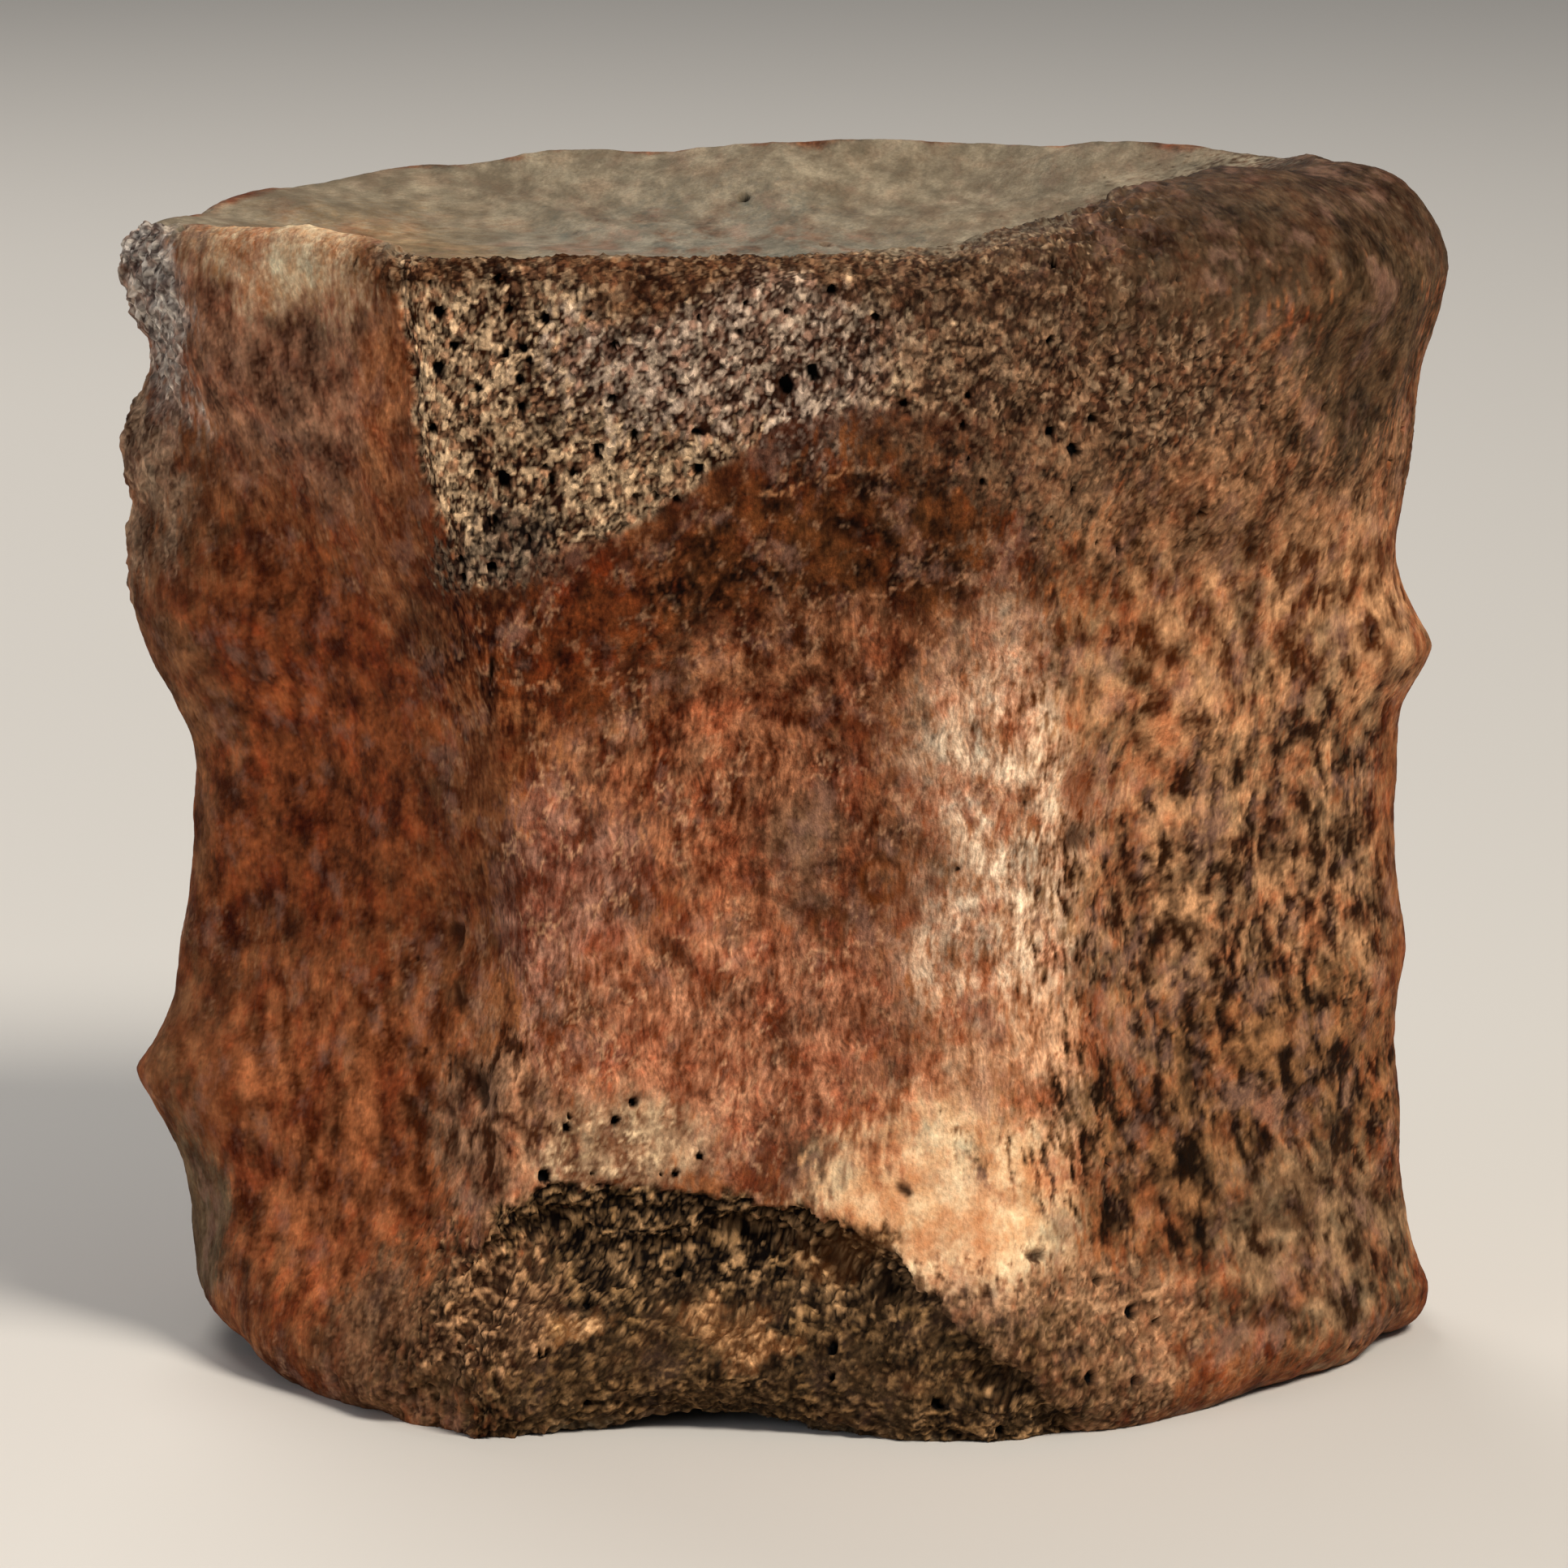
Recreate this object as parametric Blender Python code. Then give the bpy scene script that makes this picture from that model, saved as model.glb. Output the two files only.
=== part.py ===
"""Fossil tail vertebra of a hadrosaur: the centrum alone, standing on its lower articular face.

The bone is one closed solid. A cube's skin, cut into an even grid, is blown onto the bone: the
cube's four upright sides become the spool-shaped flank and its two ends the dished faces.
Twelve named lines run up the flank along its ridges and hollows. Each gives its direction and
its reach from the axis at the lower rim, the waist and the upper rim, and a closed curve
through the twelve lines is the bone's outline at every height.

Frame: Z runs up the vertebra's axis, -Y is its underside (the face with the chevron facets),
and the origin is the middle of the bone on the surface it stands on. Sizes are in millimetres
and become metres when the mesh is written.
"""

import math
from typing import NamedTuple

import bmesh
import bpy
import numpy as np

MM = 0.001

# Overall shape
WAIST_HEIGHT = 24.5
CENTRING = (0.04, 0.61, 0.0)
UPPER_DISH_DEPTH = 3.6
LOWER_DISH_DEPTH = 4.2
DISH_POWER = 2.6
RIM_POWER = 3.0
LOWER_ROLL_IN = 2.6
LOWER_ROLL_UP = 2.4

# Grid on the cube: cells along each edge, and the share of the height that each rolled rim takes
CELLS = 31
ROLL_SHARE = 0.1

# Waves that keep the old bone from being even
WAVE_SEED = 11
WAVE_COUNT = 30
WAVE_LONGEST = 17.0
WAVE_SHORTEST = 5.0
WAVE_HEIGHT = 0.07
WAVE_FADE = 0.7

# Chevron facets, where the outer bone has flaked away from the spongy bone
FACET_EDGE_WIDTH = 2.0
UPPER_FACET_DEPTH = 0.6
UPPER_FACET_RUNOUT = 7.0
LOWER_FACET_DEPTH = 1.5
LOWER_FACET_RUNOUT = 9.0

# Ledges of broken spongy bone: waves that lie mostly across the bone, sharpened into steps
LEDGE_SEED = 6315
LEDGE_COUNT = 14
LEDGE_LONGEST = 8.0
LEDGE_SHORTEST = 5.0
LEDGE_LEAN = 0.5
LEDGE_SHARPNESS = 1.5
UPPER_LEDGE_HEIGHT = 0.25
LOWER_LEDGE_HEIGHT = 0.6


class Line(NamedTuple):
    """One line up the flank.

    turn is its direction in degrees from -Y towards +X, and reach its distance from the axis,
    both at the lower rim, the waist and the upper rim. low_swing and high_swing shape how the
    line swings out below and above the waist: how late it starts, and how full its shoulder is.
    foot and crest are the heights of the two rims on this line, and lip how far the upper rim
    rolls inwards and down. round is 1 where the outline passes smoothly and 0 at a corner.
    """

    name: str
    turn: tuple
    reach: tuple
    low_swing: tuple
    high_swing: tuple
    foot: float
    crest: float
    lip: tuple
    round: float


LINES = (
    Line("ventral_channel", (-4, -2, -4), (23.2, 17.0, 24.0), (2.0, 1.2), (1.8, 2.4), 0.2, 52.2, (1.1, 1.5), 1.0),
    Line("right_ventral_ridge", (22, 29, 27), (27.6, 22.6, 27.0), (2.2, 1.2), (2.0, 1.6), -1.0, 53.2, (5.0, 3.2), 0.7),
    Line("right_ventral_face", (57, 59, 58), (26.6, 23.8, 28.2), (3.0, 1.4), (2.4, 1.4), -0.1, 53.9, (8.0, 5.0), 1.0),
    Line("right_lateral_ridge", (88, 88, 88), (29.5, 27.4, 29.6), (7.0, 1.3), (4.0, 1.2), -0.2, 53.4, (5.5, 4.6), 0.8),
    Line("right_dorsal_face", (118, 119, 117), (27.8, 24.6, 28.4), (3.0, 1.2), (3.0, 1.2), -0.4, 52.6, (3.2, 3.0), 1.0),
    Line("right_pedicle", (151, 151, 150), (25.8, 23.2, 26.2), (3.0, 1.2), (3.0, 1.2), -1.0, 51.9, (2.2, 2.4), 0.6),
    Line("neural_canal", (180, 180, 180), (23.2, 20.4, 23.6), (2.4, 1.2), (2.4, 1.2), 0.2, 51.9, (1.8, 2.0), 1.0),
    Line("left_pedicle", (209, 209, 210), (25.6, 22.8, 26.0), (3.0, 1.2), (3.0, 1.2), -1.0, 51.3, (1.8, 2.0), 0.6),
    Line("left_dorsal_face", (242, 241, 243), (27.2, 24.2, 27.8), (3.0, 1.2), (3.0, 1.2), 0.3, 50.7, (1.6, 2.0), 1.0),
    Line("left_lateral_ridge", (271, 271, 271), (26.4, 26.8, 29.7), (3.0, 1.2), (2.0, 6.0), 0.7, 50.5, (1.4, 1.8), 0.7),
    Line("left_ventral_face", (302, 300, 297), (26.2, 22.2, 27.4), (2.6, 1.2), (2.2, 2.2), -0.5, 51.8, (1.0, 1.4), 1.0),
    Line("left_ventral_ridge", (330, 329, 325), (28.0, 22.2, 28.4), (2.2, 1.2), (1.8, 2.8), -1.0, 52.1, (0.9, 1.3), 0.25),
)


class Form(NamedTuple):
    """A local swelling (out > 0) or hollow (out < 0) of the flank.

    turn is its direction in degrees and height its level. across and along are its half widths
    round the flank and up it, and out how far it stands out. A point of 1 is a pointed bump and
    2 a rounded one. ledge is the height of the broken ledges on it.
    """

    name: str
    turn: float
    height: float
    across: float
    along: float
    out: float
    point: float
    ledge: float = 0.0


FORMS = (
    Form("left_upper_boss", 270, 33.8, 12.0, 3.6, 1.5, 2.0),
    Form("left_rim_knob", 272, 49.0, 3.5, 1.6, 0.35, 1.5, 0.35),
    Form("left_rim_notch", 272, 44.6, 5.0, 2.2, -1.2, 2.0),
    Form("left_boss_notch", 271, 38.0, 4.0, 1.0, -0.4, 2.0),
    Form("left_lower_spur", 270, 12.0, 8.0, 3.4, 2.7, 1.2),
    Form("right_upper_knob", 88, 31.6, 7.0, 2.4, 1.9, 1.4),
    Form("right_waist_swell", 88, 17.5, 8.0, 2.4, 0.5, 2.0),
    Form("neural_canal_groove", 180, 26.0, 4.6, 60.0, -2.6, 2.0),
    Form("right_pedicle_scar", 152, 29.0, 4.6, 13.0, 1.4, 4.0, 0.5),
    Form("left_pedicle_scar", 208, 28.0, 4.6, 13.0, 1.3, 4.0, 0.5),
    Form("right_pedicle_pit", 152, 29.0, 2.6, 9.0, -1.0, 2.0),
    Form("left_pedicle_pit", 208, 27.0, 2.6, 9.0, -1.0, 2.0),
)

# Edges of the chevron facets as seen from the front: points (x, z) along each edge
UPPER_FACET_EDGE = (
    (-17.0, 43.5), (-14.6, 39.0), (-12.8, 36.9), (-10.0, 38.7), (-6.5, 39.8), (-3.7, 42.0),
    (-0.2, 44.3), (2.9, 45.3), (8.2, 45.0), (11.0, 43.2), (18.5, 43.0),
)
UPPER_FACET_LEFT = ((38.0, -14.6), (50.0, -16.6))
UPPER_FACET_RIGHT = (9.0, 18.0)
LOWER_FACET_EDGE = (
    (-19.5, 0.0), (-15.6, 4.0), (-12.8, 9.2), (-10.1, 11.0), (-4.1, 10.5), (1.2, 9.8),
    (4.8, 8.1), (8.3, 5.0), (10.6, 3.4), (15.5, 0.0),
)


def smooth_step(value):
    """0 below zero, 1 above one, and an even S between."""
    t = np.clip(value, 0.0, 1.0)
    return t * t * (3.0 - 2.0 * t)


def along_edge(points, at):
    """Height of an edge, given by a few points, at each place along it."""
    edge = np.array(points)
    return np.interp(at, edge[:, 0], edge[:, 1])


def line_values(name):
    """One field of every line, a row for each line."""
    return np.array([getattr(line, name) for line in LINES], dtype=float)


def through_lines(values, around, roundness=None):
    """A closed curve through one value on each line.

    values has a row for each line, with one number or one for each point. around is each
    point's place, counted in lines from the first. roundness scales the slope at each line.
    """
    count = len(values)
    if values.ndim == 1:
        values = np.repeat(values[:, None], len(around), axis=1)
    slope = 0.5 * (np.roll(values, -1, axis=0) - np.roll(values, 1, axis=0))
    if roundness is not None:
        slope = slope * roundness[:, None]
    first = np.floor(around).astype(int) % count
    second = (first + 1) % count
    column = np.arange(len(around))
    t = around - np.floor(around)
    return (
        (1.0 + 2.0 * t) * (1.0 - t) ** 2 * values[first, column]
        + t * t * (3.0 - 2.0 * t) * values[second, column]
        + t * (1.0 - t) ** 2 * slope[first, column]
        - t * t * (1.0 - t) * slope[second, column]
    )


def swung(share, shape):
    """How far each line has swung out from its waist to its rim, from 0 to 1."""
    return 1.0 - (1.0 - share[None, :] ** shape[:, 0:1]) ** shape[:, 1:2]


def outline(around, height, low, high):
    """Where the flank's outline runs at each point's height, as x and y.

    low and high are the heights where the flank meets the rolled rims at that point.
    """
    turn = line_values("turn")
    reach = line_values("reach")
    below = np.clip((WAIST_HEIGHT - height) / (WAIST_HEIGHT - low), 0.0, 1.0)
    above = np.clip((height - WAIST_HEIGHT) / (high - WAIST_HEIGHT), 0.0, 1.0)
    turns = turn[:, 1:2] + (turn[:, 0:1] - turn[:, 1:2]) * below
    turns = np.radians(turns + (turn[:, 2:3] - turn[:, 1:2]) * above)
    low_reach = (reach[:, 0:1] - reach[:, 1:2]) * swung(below, line_values("low_swing"))
    high_reach = (reach[:, 2:3] - reach[:, 1:2]) * swung(above, line_values("high_swing"))
    reaches = reach[:, 1:2] + low_reach + high_reach
    roundness = line_values("round")
    x = through_lines(reaches * np.sin(turns), around, roundness)
    y = through_lines(-reaches * np.cos(turns), around, roundness)
    return x, y


def local_forms(turn, height, reach, ledge):
    """Sum of the named swellings and hollows at each point of the flank, with their ledges."""
    total = np.zeros(len(turn))
    for form in FORMS:
        gap = (turn - form.turn + 180.0) % 360.0 - 180.0
        across = np.radians(gap) * reach / form.across
        along = (height - form.height) / form.along
        share = np.exp(-((across ** 2 + along ** 2) ** (0.5 * form.point)))
        total += (form.out + form.ledge * ledge) * share
    return total


def waves(points):
    """Low uneven waves in a seeded set of directions."""
    rng = np.random.RandomState(WAVE_SEED)
    total = np.zeros(len(points))
    for index in range(WAVE_COUNT):
        share = index / (WAVE_COUNT - 1)
        length = WAVE_LONGEST * (WAVE_SHORTEST / WAVE_LONGEST) ** share
        way = rng.normal(size=3)
        way /= np.linalg.norm(way)
        phase = rng.uniform(0.0, 2.0 * math.pi)
        height = WAVE_HEIGHT * (length / WAVE_LONGEST) ** WAVE_FADE
        total += height * np.sin(points @ way * (2.0 * math.pi / length) + phase)
    return total


def ledges(points):
    """Steps of broken spongy bone, from -1 in a hollow to 1 on a ledge."""
    rng = np.random.RandomState(LEDGE_SEED)
    total = np.zeros(len(points))
    for index in range(LEDGE_COUNT):
        share = index / (LEDGE_COUNT - 1)
        length = LEDGE_LONGEST * (LEDGE_SHORTEST / LEDGE_LONGEST) ** share
        way = rng.normal(size=3) * (LEDGE_LEAN, LEDGE_LEAN, 1.0)
        way /= np.linalg.norm(way)
        phase = rng.uniform(0.0, 2.0 * math.pi)
        total += np.sin(points @ way * (2.0 * math.pi / length) + phase)
    return np.tanh(LEDGE_SHARPNESS * total / math.sqrt(0.5 * LEDGE_COUNT))


def facet_recess(points, ledge):
    """How deep the two chevron facets lie under the outer bone at each point."""
    x, y, z = points.T
    over = z - along_edge(UPPER_FACET_EDGE, x)
    left = x - along_edge(UPPER_FACET_LEFT, z)
    fade_start, fade_end = UPPER_FACET_RIGHT
    upper = smooth_step(over / FACET_EDGE_WIDTH) * smooth_step(left / FACET_EDGE_WIDTH)
    upper = upper * smooth_step((fade_end - x) / (fade_end - fade_start))
    upper_depth = UPPER_FACET_DEPTH * (1.0 - 0.75 * smooth_step(over / UPPER_FACET_RUNOUT))
    under = along_edge(LOWER_FACET_EDGE, x) - z
    lower = smooth_step(under / FACET_EDGE_WIDTH)
    lower_depth = LOWER_FACET_DEPTH * (1.0 - 0.6 * smooth_step(under / LOWER_FACET_RUNOUT))
    recess = upper * (upper_depth - UPPER_LEDGE_HEIGHT * ledge)
    recess = recess + lower * (lower_depth - LOWER_LEDGE_HEIGHT * ledge)
    return np.where(y < 0.0, recess, 0.0)


def bone_surface(around, inward, up):
    """Points of the bone's surface.

    around is the place round the flank in lines. inward is 1 on the flank and falls to 0 at
    the middle of an end face. up runs from -1 at the lower rim's crest to 1 at the upper one's.
    """
    foot = through_lines(line_values("foot"), around)
    crest = through_lines(line_values("crest"), around)
    lip_in = through_lines(line_values("lip")[:, 0], around)
    lip_down = through_lines(line_values("lip")[:, 1], around)
    low = foot + LOWER_ROLL_UP
    high = crest - lip_down

    share = (up + 1.0) / 2.0
    climb = np.clip((share - ROLL_SHARE) / (1.0 - 2.0 * ROLL_SHARE), 0.0, 1.0)
    quarter = 0.5 * math.pi
    upper_roll = quarter * np.clip((share - 1.0 + ROLL_SHARE) / ROLL_SHARE, 0.0, 1.0)
    lower_roll = quarter * np.clip((ROLL_SHARE - share) / ROLL_SHARE, 0.0, 1.0)
    height = low + (high - low) * climb

    x, y = outline(around, height, low, high)
    reach = np.hypot(x, y)
    out = np.stack([x, y, np.zeros(len(x))], axis=1) / reach[:, None]
    turn = np.degrees(np.arctan2(x, -y))
    ledge = ledges(np.stack([x, y, height], axis=1))
    reach = reach + local_forms(turn, height, reach, ledge)
    reach = reach - lip_in * (1.0 - np.cos(upper_roll))
    reach = reach - LOWER_ROLL_IN * (1.0 - np.cos(lower_roll))
    height = height + lip_down * np.sin(upper_roll) - LOWER_ROLL_UP * np.sin(lower_roll)

    on_top = up > 0.0
    level = np.where(on_top, np.mean(line_values("crest")), np.mean(line_values("foot")))
    sag = np.where(on_top, -UPPER_DISH_DEPTH, LOWER_DISH_DEPTH)
    height = level + (height - level) * inward ** RIM_POWER + sag * (1.0 - inward ** DISH_POWER)

    points = out * (reach * inward)[:, None]
    points[:, 2] = height
    facing = out * np.cos(upper_roll + lower_roll)[:, None]
    facing[:, 2] = np.sin(upper_roll) - np.sin(lower_roll)
    points = points + facing * waves(points)[:, None]
    recess = facet_recess(points, ledge) * np.cos(upper_roll + lower_roll)
    points = points - out * np.where(inward < 1.0, 0.0, recess)[:, None]
    points[:, 2] = np.maximum(points[:, 2], 0.0)
    return points + np.array(CENTRING)


def cube_places(corners):
    """Turn points on a cube of half side 1 into around, inward and up."""
    a, b, up = corners.T
    inward = np.maximum(np.abs(a), np.abs(b))
    safe = np.where(inward > 0.0, inward, 1.0)
    a = a / safe
    b = b / safe
    edge = 1.0 - 1e-6
    sides = (b <= -edge, a >= edge, b >= edge)
    quarters = np.select(sides, (a, 2.0 + b, 4.0 - a), 6.0 - b)
    around = quarters * len(LINES) / 8.0
    return around % len(LINES), inward, up


def bone_material():
    """Warm brown fossil bone."""
    material = bpy.data.materials.new("fossil_bone")
    material.use_nodes = True
    shader = material.node_tree.nodes["Principled BSDF"]
    shader.inputs["Base Color"].default_value = (0.29, 0.14, 0.065, 1.0)
    shader.inputs["Roughness"].default_value = 0.6
    shader.inputs["Metallic"].default_value = 0.0
    return material


def make_centrum(collection):
    """Blow the cut cube onto the bone and put it in the collection."""
    grid = bmesh.new()
    bmesh.ops.create_cube(grid, size=2.0)
    bmesh.ops.subdivide_edges(grid, edges=grid.edges[:], cuts=CELLS - 1, use_grid_fill=True)
    corners = np.array([vertex.co for vertex in grid.verts])
    places = bone_surface(*cube_places(corners)) * MM
    for vertex, place in zip(grid.verts, places):
        vertex.co = place
    bmesh.ops.triangulate(grid, faces=grid.faces[:])
    bmesh.ops.recalc_face_normals(grid, faces=grid.faces[:])
    mesh = bpy.data.meshes.new("centrum")
    grid.to_mesh(mesh)
    grid.free()
    mesh.shade_smooth()
    mesh.materials.append(bone_material())
    collection.objects.link(bpy.data.objects.new("centrum", mesh))


def main():
    """Clear the scene and build the vertebra."""
    for old in list(bpy.data.objects):
        bpy.data.objects.remove(old, do_unlink=True)
    collection = bpy.data.collections.new("fossil_vertebra")
    bpy.context.scene.collection.children.link(collection)
    make_centrum(collection)


main()
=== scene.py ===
"""Looks of a fossil tail vertebra: the centrum of a duck-billed dinosaur, in a plain studio.

The bone is one closed skin. A cube's skin, cut into a fine grid, is blown onto the bone with the
same named lines as its solid. Zones tell each place its colours and its texture: streaks, pits,
grains, rubble of spongy bone, crumbled edges. Patterns of nodes turn them into real hollows and
grains in the mesh, and into their colours, which hold painted shade in the hollows, pores and
gaps, and a painted sheen on the channel and the ridge. The material adds the finest speckle.

Frame: metres, +Z up, -Y the underside that faces the camera. Sizes are in millimetres and become
metres where they meet a mesh, a light or the camera.
"""

import logging
import math
from dataclasses import dataclass, field
from enum import Enum
from typing import ClassVar, NamedTuple, Union

import bpy
import numpy as np
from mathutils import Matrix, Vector

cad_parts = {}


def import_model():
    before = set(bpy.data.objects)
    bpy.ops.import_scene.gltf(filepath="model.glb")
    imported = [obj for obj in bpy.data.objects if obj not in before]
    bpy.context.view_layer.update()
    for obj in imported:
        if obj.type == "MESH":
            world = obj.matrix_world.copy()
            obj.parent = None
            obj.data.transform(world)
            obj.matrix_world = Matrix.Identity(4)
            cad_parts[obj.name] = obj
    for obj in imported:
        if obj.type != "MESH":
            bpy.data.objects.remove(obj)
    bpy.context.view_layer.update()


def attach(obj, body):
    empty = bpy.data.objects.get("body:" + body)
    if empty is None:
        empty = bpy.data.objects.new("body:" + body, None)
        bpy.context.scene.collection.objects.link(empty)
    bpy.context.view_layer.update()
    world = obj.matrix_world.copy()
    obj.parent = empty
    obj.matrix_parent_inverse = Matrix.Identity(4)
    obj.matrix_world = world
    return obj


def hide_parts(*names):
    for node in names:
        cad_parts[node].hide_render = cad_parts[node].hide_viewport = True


LOG = logging.getLogger("fossil_vertebra")

MM = 0.001
BONE_NODE = "centrum"
ROOT_BODY = "root"
UV_NAME = "OFBake"

Node = bpy.types.Node
Socket = bpy.types.NodeSocket
Value = Union[Socket, float, tuple]
Colour = tuple[float, float, float]
Point = tuple[float, float, float]
Spot = tuple[float, float]


def seen(colour: Colour) -> tuple[float, float, float, float]:
    """A colour as the eye reads it, 0 to 255, in the linear light that nodes work in.

    Args:
        colour: Red, green and blue, each 0 to 255.

    Returns:
        Linear red, green and blue, and an alpha of 1.
    """
    linear = []
    for channel in colour:
        share = channel / 255.0
        linear.append(share / 12.92 if share <= 0.04045 else ((share + 0.055) / 1.055) ** 2.4)
    return (*linear, 1.0)


class TreeKind(Enum):
    """The two kinds of node tree that share the bone's patterns."""

    SHADING = "ShaderNodeTree"
    RELIEF = "GeometryNodeTree"

    @property
    def group_node(self) -> str:
        """The node that places a group in a tree of this kind."""
        return "ShaderNodeGroup" if self is TreeKind.SHADING else "GeometryNodeGroup"


class Field(Enum):
    """What the skin stores at each of its points."""

    REST = "rest"
    COLOUR = "colour"
    ROUGHNESS = "roughness"
    FINENESS = "fineness"
    UPPER_GAP = "upper_gap"
    LOWER_GAP = "lower_gap"
    END_GAP = "end_gap"


class Wiring:
    """Adds and links nodes in one tree, in the same way for shading and for relief."""

    MIX_SOCKETS = {"FLOAT": (2, 3, 0), "VECTOR": (4, 5, 1), "RGBA": (6, 7, 2)}
    SCALAR_RESULTS = ("LENGTH", "DOT_PRODUCT")

    def __init__(self, tree: bpy.types.NodeTree, kind: TreeKind) -> None:
        """Work on this tree, which is of this kind."""
        self.tree = tree
        self.kind = kind

    def node(self, kind: str, **settings: object) -> Node:
        """Add a node of this kind with these settings."""
        made = self.tree.nodes.new(kind)
        for name, setting in settings.items():
            setattr(made, name, setting)
        return made

    def plug(self, socket: Socket, value: Value) -> None:
        """Link a socket to another, or give it a constant."""
        if isinstance(value, bpy.types.NodeSocket):
            self.tree.links.new(value, socket)
        else:
            socket.default_value = value

    def fill(self, node: Node, values: tuple) -> Node:
        """Plug a node's first inputs in order."""
        for socket, value in zip(node.inputs, values):
            self.plug(socket, value)
        return node

    def math(self, how: str, *values: Value, clamp: bool = False) -> Socket:
        """One step of arithmetic on numbers."""
        return self.fill(self.node("ShaderNodeMath", operation=how, use_clamp=clamp), values).outputs[0]

    def times(self, *values: Value) -> Socket:
        """The product of numbers."""
        product = values[0]
        for value in values[1:]:
            product = self.math("MULTIPLY", product, value)
        return product

    def blend_in(self, value: Value, weight: Value, total: Value, clamp: bool = False) -> Socket:
        """A total with a weighted value added to it."""
        return self.math("MULTIPLY_ADD", value, weight, total, clamp=clamp)

    def sum_up(self, start: Value, *parts: tuple[Value, Value], clamp: bool = False) -> Socket:
        """A start with values added to it, each by its weight; clamp keeps the sum from 0 to 1."""
        total = start
        for index, (value, weight) in enumerate(parts, 1):
            total = self.blend_in(value, weight, total, clamp=clamp and index == len(parts))
        return total

    def centred(self, value: Value, middle: float = 0.5) -> Socket:
        """A number as its distance above a middle value."""
        return self.math("SUBTRACT", value, middle)

    def vector(self, how: str, *values: Value) -> Socket:
        """One step of arithmetic on vectors."""
        made = self.fill(self.node("ShaderNodeVectorMath", operation=how), values)
        return made.outputs["Value" if how in self.SCALAR_RESULTS else "Vector"]

    def scaled(self, value: Value, by: Value) -> Socket:
        """A vector times a number."""
        made = self.node("ShaderNodeVectorMath", operation="SCALE")
        self.plug(made.inputs["Vector"], value)
        self.plug(made.inputs["Scale"], by)
        return made.outputs["Vector"]

    def remap(self, value: Value, low: Value, high: Value, start: Value = 0.0, end: Value = 1.0) -> Socket:
        """An even S from start, at low and before it, to end, at high and after it."""
        made = self.node("ShaderNodeMapRange", interpolation_type="SMOOTHSTEP", clamp=True)
        return self.fill(made, (value, low, high, start, end)).outputs["Result"]

    def noise(self, place: Value, per_mm: float, detail: float = 2.0, roughness: float = 0.5) -> Node:
        """Cloudy noise with so many waves a millimetre."""
        made = self.node("ShaderNodeTexNoise")
        names = ("Vector", "Scale", "Detail", "Roughness")
        for name, value in zip(names, (place, per_mm, detail, roughness)):
            self.plug(made.inputs[name], value)
        return made

    def cloud(self, place: Value, per_mm: float, detail: float, roughness: float) -> Socket:
        """Cloudy noise as its distance above its middle."""
        return self.centred(self.noise(place, per_mm, detail, roughness).outputs["Fac"])

    def drawn(self, place: Value, stretch: Value, detail: float, roughness: float) -> Node:
        """Cloudy noise with its own number of waves a millimetre along each axis."""
        return self.noise(self.vector("MULTIPLY", place, stretch), 1.0, detail, roughness)

    def cells(self, place: Value, feature: str = "F1") -> Node:
        """Random cells about one unit across."""
        made = self.node("ShaderNodeTexVoronoi", feature=feature)
        self.plug(made.inputs["Vector"], place)
        self.plug(made.inputs["Scale"], 1.0)
        return made

    def mix(
        self, share: Value, first: Value, second: Value, kind: str = "FLOAT", blend: str = "MIX",
    ) -> Socket:
        """Blend two numbers, vectors or colours.

        Args:
            share: How much of the second there is.
            first: What there is at a share of 0.
            second: What there is at a share of 1.
            kind: FLOAT, VECTOR or RGBA.
            blend: How two colours meet.

        Returns:
            The blend.
        """
        made = self.node("ShaderNodeMix", data_type=kind)
        if kind == "RGBA":
            made.blend_type = blend
        low, high, out = self.MIX_SOCKETS[kind]
        self.plug(made.inputs[0], share)
        self.plug(made.inputs[low], first)
        self.plug(made.inputs[high], second)
        return made.outputs[out]

    def tint(self, share: Value, first: Value, second: Value, blend: str = "MIX") -> Socket:
        """Blend two colours."""
        return self.mix(share, first, second, "RGBA", blend)

    def split(self, value: Socket) -> tuple[Socket, Socket, Socket]:
        """The three numbers of a vector or colour."""
        made = self.fill(self.node("ShaderNodeSeparateXYZ"), (value,))
        return made.outputs[0], made.outputs[1], made.outputs[2]

    def warped(self, place: Value, per_mm: float, by: float, detail: float = 1.0) -> Socket:
        """A place moved about by noise, by up to about half of the distance given."""
        push = self.vector("SUBTRACT", self.noise(place, per_mm, detail).outputs["Color"], (0.5, 0.5, 0.5))
        return self.vector("ADD", place, self.vector("MULTIPLY", push, (by, by, by)))

    def stored(self, what: Field, kind: str = "FLOAT_VECTOR") -> Socket:
        """What the skin stores under this name at each point."""
        if self.kind is TreeKind.RELIEF:
            made = self.node("GeometryNodeInputNamedAttribute", data_type=kind)
            made.inputs["Name"].default_value = what.value
            return made.outputs["Attribute"]
        made = self.node("ShaderNodeAttribute", attribute_type="GEOMETRY", attribute_name=what.value)
        return made.outputs["Fac" if kind == "FLOAT" else "Color" if kind == "FLOAT_COLOR" else "Vector"]


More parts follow.
